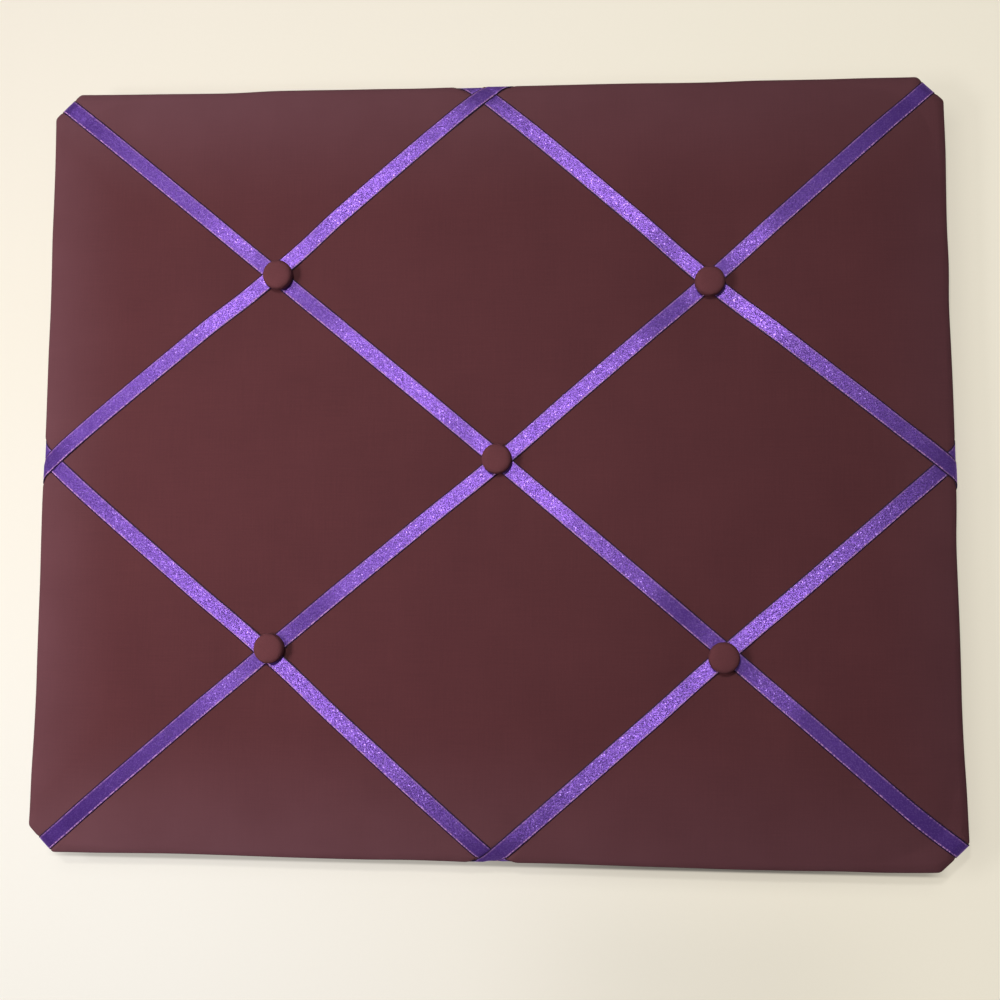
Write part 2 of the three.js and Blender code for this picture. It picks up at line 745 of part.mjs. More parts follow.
function addStaple(name, [x, z], crown) {
  const angle = Math.atan2(-crown[1], crown[0]);
  const mesh = addPart(name, stapleSolid(), finishes.steel);
  mesh.position.set(x, 0, z);
  mesh.rotation.y = angle;
  const depth = stapleGrip + stapleClearance;
  for (const leg of [-1, 1]) {
    const slot = new THREE.BoxGeometry(
      stapleWire + 2 * stapleClearance, 2 * depth, stapleWireWidth + 2 * stapleClearance);
    slot.translate((leg * (stapleSpan - stapleWire)) / 2, coreBack, 0).rotateY(angle).translate(x, 0, z);
    stapleCutters.push(solidOf(slot));
  }
}

for (const { label, hold, crown } of tailHolds) addStaple(`staple_${label}`, hold, crown);
for (const [place, [x, z]] of Object.entries(buttons)) {
  addStaple(`staple_twine_${placeLabel(place)}`, [x, z - twineBend - twineTail / 2], [1, 0]);
}

// Ring hangers, each with its strap screwed through the backing board into the core

const loopInside = ringWire / 2 + ringClearance;
const loopOutside = loopInside + strapSheet;
const strapLeaf = 2 * strapSheet;
const ringRadius = strapWidth / 2 + ringCorner;
const ringDrop = ringArm + ringRadius;
const ringTilt = Math.asin((strapLeaf + ringClearance + ringWire / 2 - loopOutside) / ringDrop);
const screwHole = screwDiameter / 2 + screwClearance;
const screwDrop = strapLength - strapScrewInset;

// The strap's side view is folded round the ring's bar, and its front view has a round end
function strapSolid() {
  const side = new THREE.Shape();
  side.moveTo(-strapLength, 0);
  side.lineTo(0, 0);
  side.absarc(0, loopOutside, loopOutside, -Math.PI / 2, strapFold, false);
  side.lineTo(-2 * loopOutside, strapLeaf);
  side.lineTo(-strapLength, strapLeaf);
  side.closePath();
  side.holes.push(new THREE.Path().absarc(0, loopOutside, loopInside, 0, 2 * Math.PI, true));
  const settings = { depth: strapWidth, curveSegments: holeSegments, bevelEnabled: false };
  const folded = new THREE.ExtrudeGeometry(side, settings);
  folded.rotateY(-Math.PI / 2).translate(strapWidth / 2, 0, 0);

  const face = new THREE.Shape();
  face.moveTo(-strapWidth / 2, loopOutside);
  face.absarc(0, strapWidth / 2 - strapLength, strapWidth / 2, Math.PI, 2 * Math.PI, false);
  face.lineTo(strapWidth / 2, loopOutside);
  const blank = slab(face, 2 * loopOutside, 2 * loopOutside);
  const hole = rod(screwHole, strapLeaf + screwClearance, -screwClearance, 0, -screwDrop);
  return solidOf(folded).intersect(blank).subtract(hole);
}

// The ring is bent wire, split in the middle of its bar, which the strap hides
function ringSolid() {
  const bend = new THREE.Path();
  bend.moveTo(ringSplit / 2, 0);
  bend.lineTo(ringRadius - ringCorner, 0);
  bend.absarc(ringRadius - ringCorner, -ringCorner, ringCorner, Math.PI / 2, 0, true);
  bend.lineTo(ringRadius, -ringArm);
  bend.absarc(0, -ringArm, ringRadius, 0, -Math.PI, true);
  bend.lineTo(-ringRadius, -ringCorner);
  bend.absarc(-ringRadius + ringCorner, -ringCorner, ringCorner, Math.PI, Math.PI / 2, true);
  bend.lineTo(-ringSplit / 2, 0);
  const points = bend.getSpacedPoints(2 * ringSteps).map(({ x, y }) => new THREE.Vector3(x, 0, y));
  return bentRod(new THREE.CatmullRomCurve3(points), ringWire, wireSides, ringSteps);
}

function screwSolid() {
  const [radius, head] = [screwDiameter / 2, screwHeadDiameter / 2];
  const [tip, seat, top] = [strapLeaf - screwLength, strapLeaf, strapLeaf + screwHeadHeight];
  return turned([
    [0, tip], [radius, tip + screwTip], [radius, seat], [head, seat],
    [head, (seat + top) / 2], [screwHeadTopDiameter / 2, top], [0, top],
  ], 0, -screwDrop, roundSegments);
}

const hangerOut = boardWidth / 2 - backingInset - hangerInset;
const hangerUp = boardHeight / 2 - backingInset - hangerDrop;
const screwPlaces = [];
for (const [label, sign] of [['left', -1], ['right', 1]]) {
  const hanger = new THREE.Group();
  hanger.position.set(sign * hangerOut, backingBack, hangerUp);
  memoBoard.add(hanger);
  addPart(`hanger_strap_${label}`, strapSolid(), finishes.brass, hanger);
  addPart(`hanger_screw_${label}`, screwSolid(), finishes.brass, hanger);
  const ring = addPart(`hanger_ring_${label}`, ringSolid(), finishes.brass, hanger);
  ring.position.y = loopOutside;
  ring.rotation.x = ringTilt;
  screwPlaces.push([hanger.position.x, hanger.position.z - screwDrop]);
}

// Backing board, core and bumpers

const screwReach = backingBack + strapLeaf - screwLength - screwClearance;
const screwMouth = backingBack + screwClearance;
const screwCutters = screwPlaces.map(([x, z]) => rod(screwHole, screwMouth, screwReach, x, z));
const backing = slab(outlineShape(backingInset), backingBack, backingThickness);
addPart('backing_board', subtractAll(backing, screwCutters), finishes.backing);

const twineBores = Object.values(buttons).map(([x, z]) =>
  rod(coreHoleDiameter / 2, coreBack + layerGap, coreFront - layerGap, x, z));
const coreCutters = [...twineBores, ...screwCutters, ...stapleCutters];
const core = slab(outlineShape(coreInset), coreBack, coreThickness);
addPart('core_board', subtractAll(core, coreCutters), finishes.fibreboard);

const bumperOut = boardWidth / 2 - backingInset - bumperInset;
const bumperDown = boardHeight / 2 - backingInset - bumperInset;
for (const [label, sign] of [['left', -1], ['right', 1]]) {
  const profile = [[0, backingBack], [bumperDiameter / 2, backingBack], [bumperTopDiameter / 2, 0], [0, 0]];
  const bumper = turned(profile, sign * bumperOut, -bumperDown, roundSegments);
  addPart(`bumper_${label}`, bumper, finishes.rubber);
}

export default memoBoard;
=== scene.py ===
import math

import bmesh
import bpy
import numpy as np
from mathutils import Euler, Matrix, Vector


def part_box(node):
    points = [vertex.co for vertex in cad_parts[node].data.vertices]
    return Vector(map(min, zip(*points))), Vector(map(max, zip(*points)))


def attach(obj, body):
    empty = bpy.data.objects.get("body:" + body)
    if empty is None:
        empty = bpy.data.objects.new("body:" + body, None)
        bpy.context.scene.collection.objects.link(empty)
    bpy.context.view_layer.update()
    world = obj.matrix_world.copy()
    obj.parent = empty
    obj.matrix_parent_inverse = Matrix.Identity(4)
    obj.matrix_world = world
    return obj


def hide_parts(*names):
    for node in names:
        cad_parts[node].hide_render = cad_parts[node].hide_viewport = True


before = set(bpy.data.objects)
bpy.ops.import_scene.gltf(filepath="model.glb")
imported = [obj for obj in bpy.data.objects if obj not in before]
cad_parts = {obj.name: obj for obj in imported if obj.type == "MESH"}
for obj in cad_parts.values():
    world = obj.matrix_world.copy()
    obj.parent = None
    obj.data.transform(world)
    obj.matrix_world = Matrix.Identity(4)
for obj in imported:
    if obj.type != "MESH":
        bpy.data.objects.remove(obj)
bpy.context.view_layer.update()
scene = bpy.context.scene
scene.view_settings.view_transform = "Standard"
mm = 0.001


def linked(name, data):
    """A new object in the scene"""
    made = bpy.data.objects.new(name, data)
    scene.collection.objects.link(made)
    return made


# Camera, at the photograph's angle

board_turn = Euler([math.radians(angle) for angle in (-4.626, -3.907, -0.103)], "XYZ").to_matrix()
stand = Matrix.Translation(Vector((45.81, -578.6, -64.64)) * mm)
camera = linked("camera", bpy.data.cameras.new("camera"))
camera.data.lens, camera.data.sensor_width = 38.77, 36
camera.matrix_world = stand @ (Matrix.Rotation(math.pi / 2, 3, "X") @ board_turn.transposed()).to_4x4()
scene.camera = camera

# Sizes, in millimetres, as in the part's source, with a tighter edge roll and the outline drawn in to suit it

board_width, board_height, corner_cut, edge_roll = 477, 408, 13.5, 4.5
cloth_thick, hem_width, layer_gap = 0.5, 24, 0.3
ribbon_gap, ribbon_thick = 0.15, 0.28
shoulder, shoulder_drop, shoulder_bend = 46, 2.6, 2.2
pad_front, core_front, core_back, hem_back, backing_back = -25.7, -18.2, -9.2, -8.4, -4.5
tuft_depth, tuft_seat, tuft_reach = 3, 12, 50
pillow_rise, pillow_reach, pillow_fade, channel = 1.4, 60, 40, 8
fold_radius, corner_zone, corner_round = 1.2, 30, 3.2
rim_x, rim_z = board_width / 2 - edge_roll, board_height / 2 - edge_roll

crossings = {
    "top_left": (-114, 101.1), "top_right": (115.9, 94.7), "centre": (7.6, 0.8),
    "bottom_left": (-113.5, -99.3), "bottom_right": (123.4, -97.2),
}
buttons = {
    "top_left": (-111.3, 99.8), "top_right": (115.9, 93.8), "centre": (6.1, 1.4),
    "bottom_left": (-111.2, -97.1), "bottom_right": (121.4, -99.3),
}


def heading(a, b):
    way = np.subtract(b, a)
    return way / np.hypot(*way)


class Edge:
    """A straight edge: the way out of the board, the way along it, its distance out and where a ribbon leaves"""

    def __init__(self, out, through, target):
        self.out = np.array(out) / np.hypot(*out)
        self.along = np.array([self.out[1], -self.out[0]])
        self.reach, self.target = float(self.out @ through), target

    def travel(self, x, z):
        """How far a place lies past the start of the edge roll"""
        return x * self.out[0] + z * self.out[1] - self.reach + edge_roll

    def place(self, x, z):
        """Where a place lies along the edge"""
        return x * self.along[0] + z * self.along[1]

    def course(self, knot):
        """A ribbon's way from a knot to the edge, its rate outwards and the knot's travel"""
        way = heading(knot, self.target)
        return way, float(way @ self.out), float(self.travel(*knot))


def cut_edge(right, up, shift):
    middle = np.array([right * (board_width - corner_cut) / 2, up * (board_height - corner_cut) / 2])
    target = middle + np.array([1, -right * up]) * shift * math.sqrt(0.5)
    return Edge((right, up), middle, tuple(target))


edges = {
    "top": Edge((0, 1), (0, board_height / 2), (-2.4, 198.7)),
    "right": Edge((1, 0), (board_width / 2, 0), (233.9, -1)),
    "bottom": Edge((0, -1), (0, -board_height / 2), (4.5, -202.5)),
    "left": Edge((-1, 0), (-board_width / 2, 0), (-233.8, 0.8)),
    "top_left": cut_edge(-1, 1, 0.3),
    "top_right": cut_edge(1, 1, -1.2),
    "bottom_right": cut_edge(1, -1, 4.8),
    "bottom_left": cut_edge(-1, -1, 3.4),
}

# Each ribbon: the edges it leaves over, the crossings on its way, and where it lies on top
ribbon_courses = {
    "falling_diagonal": (("top_left", "bottom_right"), ("top_left", "centre", "bottom_right"), ()),
    "rising_diagonal": (("bottom_left", "top_right"), ("bottom_left", "centre", "top_right"), ("centre",)),
    "bottom_left": (("left", "bottom"), ("bottom_left",), ("bottom_left",)),
    "bottom_right": (("bottom", "right"), ("bottom_right",), ("bottom_right", "bottom")),
    "top_right": (("top", "right"), ("top_right",), ("top_right", "right")),
    "top_left": (("left", "top"), ("top_left",), ("top_left", "left", "top")),
}
rising_ribbons = ("rising_diagonal", "top_left", "bottom_right")

# Graphs of nodes, for finishes and for geometry


class Wire:
    """A socket that takes part in arithmetic: each operation adds a Math node"""

    def __init__(self, graph, socket):
        self.graph, self.socket = graph, socket

    def __add__(self, other):
        return self.graph.maths("ADD", self, other)

    def __sub__(self, other):
        return self.graph.maths("SUBTRACT", self, other)

    def __rsub__(self, other):
        return self.graph.maths("SUBTRACT", other, self)

    def __mul__(self, other):
        return self.graph.maths("MULTIPLY", self, other)

    __radd__, __rmul__ = __add__, __mul__


class Graph:
    """A tree of nodes that is written as expressions"""

    def __init__(self, tree):
        self.tree = tree
        tree.nodes.clear()

    def node(self, kind, sockets=None, output=0, **settings):
        made = self.tree.nodes.new(kind)
        for name, value in settings.items():
            setattr(made, name, value)
        for key, value in (sockets or {}).items():
            if isinstance(value, Wire):
                self.tree.links.new(value.socket, made.inputs[key])
            else:
                made.inputs[key].default_value = value
        return Wire(self, made.outputs[output]) if len(made.outputs) else made

    def maths(self, operation, *values):
        return self.node("ShaderNodeMath", dict(enumerate(values)), operation=operation)

    def vector(self, operation, *values):
        return self.node("ShaderNodeVectorMath", dict(enumerate(values)), operation=operation)

    def xyz(self, x, y, z=0.0):
        return self.node("ShaderNodeCombineXYZ", {0: x, 1: y, 2: z})

    def parts(self, wire):
        made = self.node("ShaderNodeSeparateXYZ", {0: wire}).socket.node
        return [Wire(self, socket) for socket in made.outputs]

    def ray(self, kind):
        return self.node("ShaderNodeLightPath", None, f"Is {kind} Ray")

    def stretch(self, value, low, high, to_low=0.0, to_high=1.0):
        """A value carried smoothly from one range to another, and held at its ends"""
        return self.node("ShaderNodeMapRange", {0: value, 1: low, 2: high, 3: to_low, 4: to_high},
                         interpolation_type="SMOOTHSTEP")


class Finish(Graph):
    """A material round one Principled shader"""

    def __init__(self, name):
        self.material = bpy.data.materials.new(name)
        self.material.use_nodes = True
        super().__init__(self.material.node_tree)

    def object_place(self):
        return self.node("ShaderNodeTexCoord", None, "Object")

    def threads(self):
        """Along and across the cloth, in metres"""
        return self.parts(self.node("ShaderNodeUVMap", uv_map="threads"))[:2]

    def noise(self, place, scale, detail=2.0, roughness=0.5):
        return self.node("ShaderNodeTexNoise",
                         {"Vector": place, "Scale": scale, "Detail": detail, "Roughness": roughness})

    def blend(self, factor, first, second):
        return self.node("ShaderNodeMix", {0: factor, 6: first, 7: second}, 2, data_type="RGBA")

    def bump(self, height, distance, strength):
        return self.node("ShaderNodeBump", {"Height": height, "Distance": distance, "Strength": strength})

    def shader(self, **sockets):
        named = {key.replace("_", " ").title().replace("Ior", "IOR"): value for key, value in sockets.items()}
        return self.node("ShaderNodeBsdfPrincipled", named)

    def mixed(self, factor, first, second):
        return self.node("ShaderNodeMixShader", {0: factor, 1: first, 2: second})

    def ends_in(self, shader):
        self.node("ShaderNodeOutputMaterial", {"Surface": shader})
        return self.material

    def surface(self, **sockets):
        return self.ends_in(self.shader(**sockets))


def rgb(red, green, blue):
    """A colour given as it looks on screen, from 0 to 255"""
    def straight(value):
        value /= 255
        return value / 12.92 if value <= 0.04045 else ((value + 0.055) / 1.055) ** 2.4
    return (straight(red), straight(green), straight(blue), 1.0)


# Finishes

thread_pitch, slub_close, slub_long = 0.00044, 1500, 45


def woven_cotton(name, dark, light, glow_colour):
    """Plain weave: threads over and under each other, with slubs, lint and mottling, and painted light: a paler glow
    towards the edges, strongest on the left side, which faces the light
    """
    f = Finish(name)
    u, v = f.threads()
    warp_wave = f.maths("SINE", u * (math.pi / thread_pitch))
    weft_wave = f.maths("SINE", v * (math.pi / thread_pitch))
    warp, weft = f.maths("ABSOLUTE", warp_wave), f.maths("ABSOLUTE", weft_wave)
    warp_on_top = f.maths("GREATER_THAN", warp_wave * weft_wave, 0.0)
    over = warp * (0.55 + 0.45 * weft)
    under = weft * (0.55 + 0.45 * warp)
    height = warp_on_top * over + (1 - warp_on_top) * under
    slub_along = f.noise(f.xyz(u * slub_close, v * slub_long), 1.0, 1.0)
    slub_across = f.noise(f.xyz(u * slub_long, v * slub_close), 1.0, 1.0)
    slub = warp_on_top * slub_along + (1 - warp_on_top) * slub_across
    mottle = f.noise(f.xyz(u, v), 26.0, 3.0)
    fuzz = f.noise(f.xyz(u, v), 900.0, 2.0, 0.7)
    tone = 0.34 * height + 0.34 * slub + 0.22 * mottle + 0.22 * fuzz - 0.05
    colour = f.blend(tone, dark, light)
    # Painted light: the colour turns paler towards the edges, most on the left, where the light falls
    from_side = board_width / 2 * mm - f.maths("ABSOLUTE", u)
    from_end = board_height / 2 * mm - f.maths("ABSOLUTE", v)
    edge_glow = f.stretch(f.maths("MINIMUM", from_side + 0.022, from_end), -0.01, 0.075, 1.0, 0.0)
    left_light = f.stretch(u, -0.24, 0.12, 1.0, 0.55)
    colour = f.blend(edge_glow * left_light * (0.36 + 0.36 * mottle), colour, glow_colour)
    rough = 0.86 + 0.1 * fuzz
    relief = f.bump(height + 0.5 * slub + 0.5 * fuzz, 0.00012, 0.5)
    return f.surface(base_color=colour, roughness=rough, normal=relief, specular_ior_level=0.15,
                     sheen_weight=0.05, sheen_roughness=0.4, sheen_tint=rgb(220, 170, 176))


strand_width, selvedge_from, edge_shade_from, thread_edge = 0.0003, 0.00336, 0.00398, 0.00008


def satin_ribbon(name, lie):
    """Satin that lies at an angle in degrees: floats along the ribbon that lean to both sides, so that light spreads
    across it, bright flecks, a pale selvedge painted paler along the lower edge, and a dark line of painted shade
    along each edge"""
    f = Finish(name)
    turn = math.radians(lie)
    facing = f.node("ShaderNodeNewGeometry", None, "Normal")

    def chance(cells, output):
        cell = f.vector("FLOOR", cells)
        return f.node("ShaderNodeTexWhiteNoise", {"Vector": cell}, output, noise_dimensions="2D")

    def leaning(cells, sideways, lengthways):
        """The way the surface faces, leaning by chance in each cell"""
        _, first, second = f.parts(f.vector("SUBTRACT", chance(cells, "Color"), (0.5, 0.5, 0.5)))
        over, on = first * sideways, second * lengthways
        slope = f.xyz(on * math.cos(turn) - over * math.sin(turn), 0.0,
                      on * math.sin(turn) + over * math.cos(turn))
        return f.vector("NORMALIZE", f.vector("ADD", facing, slope))

    along, across = f.threads()
    floats = f.noise(f.xyz(along * 260, across * 5200), 1.0, 2.0, 0.6)
    strand = 2 * f.maths("FRACT", across * (1 / strand_width)) - 1
    fleck_cells = f.xyz(along * 1700, across * 2000)
    fleck = chance(fleck_cells, "Value")
    cloudy = f.noise(f.xyz(along * 60, across * 160), 1.0, 2.0)
    side = f.maths("ABSOLUTE", across)
    # Painted highlight: the selvedge is paler along the ribbon's lower edge, where light catches it
    lit_lower_edge = f.stretch(across, -0.0005, 0.0005, 1.0, 0.6)
    # Painted shade: a dark line along each edge of the ribbon, standing for its shadow on the cloth
    rim = f.stretch(side, edge_shade_from, edge_shade_from + thread_edge)
    stitch = f.stretch(f.noise(f.xyz(along * 1100, across * 200), 1.0, 1.0), 0.4, 0.56)
    selvedge = f.stretch(side, selvedge_from, selvedge_from + thread_edge)
    selvedge = selvedge * (1 - rim) * (0.3 + 0.7 * stitch) * lit_lower_edge
    plain = (1 - selvedge) * (1 - rim)
    depth = floats * 0.6 + cloudy * 0.4
    dye_and_edge_shade = f.blend(depth, rgb(50, 15, 94), rgb(78, 34, 134))
    # The thread colour carries the dye, the pale selvedge and the painted edge shade
    dye_and_edge_shade = f.blend(rim * 0.9, f.blend(selvedge * 0.85, dye_and_edge_shade, rgb(208, 152, 214)), rgb(30, 10, 46))
    relief = f.bump((1 - strand * strand + 0.6 * floats) * plain, 0.00006, 1.0)
    thread = f.shader(base_color=dye_and_edge_shade, roughness=0.6 + 0.2 * selvedge, normal=relief, specular_ior_level=0.3)
    glossy = f.blend(0.6 * fleck + 0.4 * depth, rgb(141, 96, 221), rgb(179, 131, 244))
    sheen = f.shader(base_color=glossy, metallic=1.0, roughness=0.44,
                     normal=leaning(f.xyz(along * 2500, across * 9000), 0.9, 0.15))
    bright = f.blend(0.35, glossy, rgb(216, 190, 255))
    sparkle = f.shader(base_color=bright, metallic=1.0, roughness=0.34, normal=leaning(fleck_cells, 0.9, 0.3))
    spark = f.stretch(fleck, 0.45, 0.95)
    return f.ends_in(f.mixed(plain * spark * 0.15, f.mixed(plain * 0.45, thread, sheen), sparkle))


def pressed_board(name, dark, light, fibre_scale, gloss, relief_depth):
    """Pressed wood fibre: short fibres at all angles, dark specks and a little unevenness in the pressing"""
    f = Finish(name)
    place = f.object_place()
    wide = f.noise(place, 14.0, 3.0)
    drift = f.node("ShaderNodeTexNoise", {"Vector": place, "Scale": 60.0}, "Color")
    bent = f.vector("ADD", place, f.vector("MULTIPLY", drift, (0.01, 0.01, 0.01)))
    crossed = f.noise(f.vector("MULTIPLY", bent, (fibre_scale, 1.0, fibre_scale * 0.12)), 1.0, 4.0, 0.7)
    level = f.noise(f.vector("MULTIPLY", bent, (fibre_scale * 0.12, 1.0, fibre_scale)), 1.0, 4.0, 0.7)
    speck = f.stretch(f.noise(place, fibre_scale * 0.6, 1.0), 0.68, 0.74)
    fibre = crossed * 0.5 + level * 0.5
    colour = f.blend(fibre * 0.7 + wide * 0.3, dark, light)
    colour = f.blend(speck * 0.55, colour, tuple(c * 0.45 for c in dark[:3]) + (1.0,))
    rough = gloss + 0.14 * fibre
    return f.surface(base_color=colour, roughness=rough, normal=f.bump(fibre, relief_depth, 0.5),
                     specular_ior_level=0.4)


def grained(name, fine, broad, dark, light, share, rough, relief, drawn=None, **rest):
    """A finish from a fine grain, which may be drawn out along the piece, and a broad one. Noise is given as scale,
    detail and roughness; the rest as amounts of the fine grain, the broad one and what they act on"""
    f = Finish(name)
    place = f.object_place()
    a = f.noise(f.vector("MULTIPLY", place, drawn) if drawn else place, *fine)
    b = f.noise(place, *broad)
    lift, distance, strength = relief
    return f.surface(base_color=f.blend(a * share + b * (1 - share), dark, light),
                     roughness=rough[0] + rough[1] * a + rough[2] * b,
                     normal=f.bump(a + lift * b, distance, strength), **rest)


def worked_metal(name, dull, clean, base_rough, streak):
    """Metal with drawing marks along it, handling smears and dulled low spots"""
    return grained(name, (1.0, 3.0, 0.6), (180.0, 4.0, 0.6), dull, clean, 0.45, (base_rough, 0.08, 0.16),
                   (0.4, 0.00006, 0.35), streak, metallic=1.0)


# The third colour of each cotton is its painted glow of light towards the edges
cover_cotton = woven_cotton("cover_cotton", rgb(72, 37, 42), rgb(112, 62, 66), rgb(126, 86, 96))
button_cotton = woven_cotton("button_cotton", rgb(84, 45, 49), rgb(126, 72, 78), rgb(122, 86, 92))
falling_satin, rising_satin = satin_ribbon("falling_satin", -40.2), satin_ribbon("rising_satin", 40.8)
white_batting = grained(
    "white_batting", (1.0, 3.0, 0.7), (90.0, 5.0, 0.65), rgb(214, 210, 200), rgb(250, 248, 242), 0.4,
    (0.9, 0.08, 0.0), (1 / 0.6, 0.00072, 0.6), (900.0, 900.0, 120.0), sheen_weight=0.3, sheen_roughness=0.6)
raw_fibreboard = pressed_board("raw_fibreboard", rgb(126, 96, 62), rgb(180, 146, 104), 420.0, 0.72, 0.0001)
smooth_hardboard = pressed_board("smooth_hardboard", rgb(96, 68, 44), rgb(146, 110, 74), 520.0, 0.5, 0.00005)
stamped_aluminium = worked_metal("stamped_aluminium", rgb(168, 170, 172), rgb(218, 220, 221), 0.3, (700.0,) * 3)
galvanised_wire = worked_metal("galvanised_wire", rgb(150, 152, 154), rgb(206, 208, 210), 0.34,
                               (1600.0, 1600.0, 120.0))
plated_brass = worked_metal("plated_brass", rgb(166, 132, 66), rgb(224, 190, 112), 0.24, (1500.0, 1500.0, 160.0))
white_moulding = grained(
    "white_moulding", (2600.0, 3.0, 0.6), (160.0, 2.0), rgb(216, 213, 206), rgb(240, 238, 232), 0.3,
    (0.42, 0.12, 0.0), (0.0, 0.00004, 0.4))
natural_thread = grained(
    "natural_thread", (2400.0, 3.0, 0.7), (240.0, 2.0), rgb(184, 172, 146), rgb(238, 230, 212), 0.6,
    (0.82, 0.12, 0.0), (0.0, 0.00008, 0.5), sheen_weight=0.2, sheen_roughness=0.5)
black_rubber = grained(
    "black_rubber", (1900.0, 3.0, 0.6), (220.0, 3.0), rgb(30, 30, 32), rgb(58, 57, 57), 0.4,
    (0.62, 0.18, 0.0), (0.0, 0.00005, 0.4))

# Shape of the padded front and of its edges


def ease(value):
    t = np.clip(value, 0, 1)
    return t * t * (3 - 2 * t)


def from_crossing(x, z):
    return np.min([np.hypot(x - cx, z - cz) for cx, cz in crossings.values()], axis=0)


def tuft_sink(x, z):
    return tuft_depth * (1 - ease((from_crossing(x, z) - tuft_seat) / (tuft_reach - tuft_seat)))


def ribbon_distances(x, z):
    """Distance to the nearest rising ribbon and to the nearest falling one"""
    near = {True: [], False: []}
    for label, ((start, finish), knots, _) in ribbon_courses.items():
        line = [edges[start].target, *(crossings[k] for k in knots), edges[finish].target]
        for (ax, az), (bx, bz) in zip(line[:-1], line[1:]):
            dx, dz = bx - ax, bz - az
            t = np.clip(((x - ax) * dx + (z - az) * dz) / (dx * dx + dz * dz), 0, 1)
            near[label in rising_ribbons].append(np.hypot(x - ax - t * dx, z - az - t * dz))
    return np.min(near[True], axis=0), np.min(near[False], axis=0)


def pillow(x, z):
    rise = [ease((d - channel) / (pillow_reach - channel)) for d in ribbon_distances(x, z)]
    from_edge = np.minimum(rim_x - np.abs(x), rim_z - np.abs(z))
    return pillow_rise * rise[0] * rise[1] * ease(from_edge / pillow_fade)


def padded_depth(x, z):
    return pad_front + tuft_sink(x, z) - pillow(x, z)


roll_length = edge_roll * math.pi / 2
side_start = pad_front + edge_roll
side_end = roll_length + hem_back - fold_radius - side_start
fold_end = side_end + fold_radius * math.pi / 2


def edge_profile(travel):
    """Inset and depth of the cloth, and how it faces outwards and back, at a travel past the start of the roll"""
    roll, fold = travel / edge_roll, (travel - side_end) / fold_radius
    zones = [travel <= 0, travel <= roll_length, travel <= side_end, travel <= fold_end]
    zero, one = np.zeros_like(travel), np.ones_like(travel)
    inset = np.select(zones, [edge_roll - travel, edge_roll * (1 - np.sin(roll)), zero,
                              fold_radius * (1 - np.cos(fold))], fold_radius + travel - fold_end)
    slope = shoulder_bend * shoulder_drop / shoulder * edge_roll * np.sin(roll) * np.cos(roll)
    depth = np.select(zones, [pad_front + zero, side_start - (edge_roll - shoulder_drop) * np.cos(roll) + slope,
                              side_start + travel - roll_length, hem_back + fold_radius * (np.sin(fold) - 1)],
                      hem_back + zero)
    out = np.select(zones, [zero, np.sin(roll), one, np.cos(fold)], zero)
    back = np.select(zones, [-one, -np.cos(roll), zero, np.sin(fold)], one)
    return inset, depth, out, back


# How far the tight ribbons press the padding in where they turn over an edge
press_depth = {"top": 0.9, "right": 0.3, "bottom": 1.2, "left": 0.8}
corner_press, shared_press, press_half, press_fade = 0.45, 0.5, 4.4, 1.7
press_lead, press_run, corner_fade, shoulder_join = 9, 15, 8, 4


def ribbon_passes():
    """For each edge, the ribbons over it: place along it where the roll starts, drift along it, rate outwards"""
    passes = {name: [] for name in edges}
    for ends, knots, _ in ribbon_courses.values():
        for name, knot in zip(ends, (crossings[knots[0]], crossings[knots[-1]])):
            way, rate, first = edges[name].course(knot)
            drift = float(way @ edges[name].along) / rate
            passes[name].append((edges[name].place(*knot) - first * drift, drift, rate))
    return passes


edge_passes = ribbon_passes()


def edge_press(name, along, travel, spread=0):
    """How far the cloth is pressed in at a place on an edge's unfolded cloth; wadding gives way more widely"""
    weights = [1 - ease((np.abs(along - at - drift * travel) * rate - press_half - spread) / press_fade)
               for at, drift, rate in edge_passes[name]]
    share = np.max(weights, axis=0) + (shared_press * np.min(weights, axis=0) if len(weights) > 1 else 0)
    kept = 1 - ease((travel - roll_length) / (fold_end - roll_length))
    return press_depth.get(name, corner_press) * share * ease((travel + press_lead) / press_run) * kept


def rim_sink(x, z, spread=0):
    """How far the front sinks near its rim: the padding thins at the shoulder and gives way under the ribbons"""
    near, presses = 0, []
    for name, edge in edges.items():
        travel = edge.travel(x, z)
        near = near + np.clip(travel / shoulder + 1, 0, 1) ** shoulder_join
        presses.append(edge_press(name, edge.place(x, z), travel, spread))
    return shoulder_drop * np.minimum(near, 1) ** (shoulder_bend / shoulder_join) + np.max(presses, axis=0)


def edge_ring(xs, zs, travel, inset, depth, out, back, spread=0):
    """Points of a loop round the board's edge, pressed in by the ribbons"""
    place = rim_loop(inset, xs, zs)
    points = listed(place[:, 0], np.full(len(place), depth), place[:, 1])
    for name, edge in edges.items():
        gap = edge.reach - inset - place @ edge.out
        press = edge_press(name, place @ edge.along, travel, spread) * (1 - ease(gap / corner_fade))
        points -= press[:, None] * np.array([edge.out[0] * out, back, edge.out[1] * out])
    return points


# How far the hand-stretched edge wanders outside the straight outline, in tenths, at even steps along each side
edge_wander = {
    "top": (6, 1, -2, -4, -7, -8, -2, -2, -4, -5, -7, -6, -6, -7, -7, -7, -8, -11, -12, -9, -10, -11, -10, -11, -10),
    "right": (27, 23, 18, 10, 6, 6, 5, 2, 0, 6, 6, 5, 3, -1, -5, -1, -5, -4, -2, -5, -6),
    "bottom": (3, 0, -1, -4, -6, -5, -3, -1, 0, 0, -3, -2, 1, -2, -3, -1, 1, 2, 4, 4, 3, 1, 2, -2, -10),
    "left": (1, -4, -5, -10, -12, -10, -9, -8, -5, -3, -5, -6, -5, -4, -5, -3, 1, 1, 2, 6, 11),
}
wander_depth, half_size = 30, {0: board_width / 2, 2: board_height / 2}


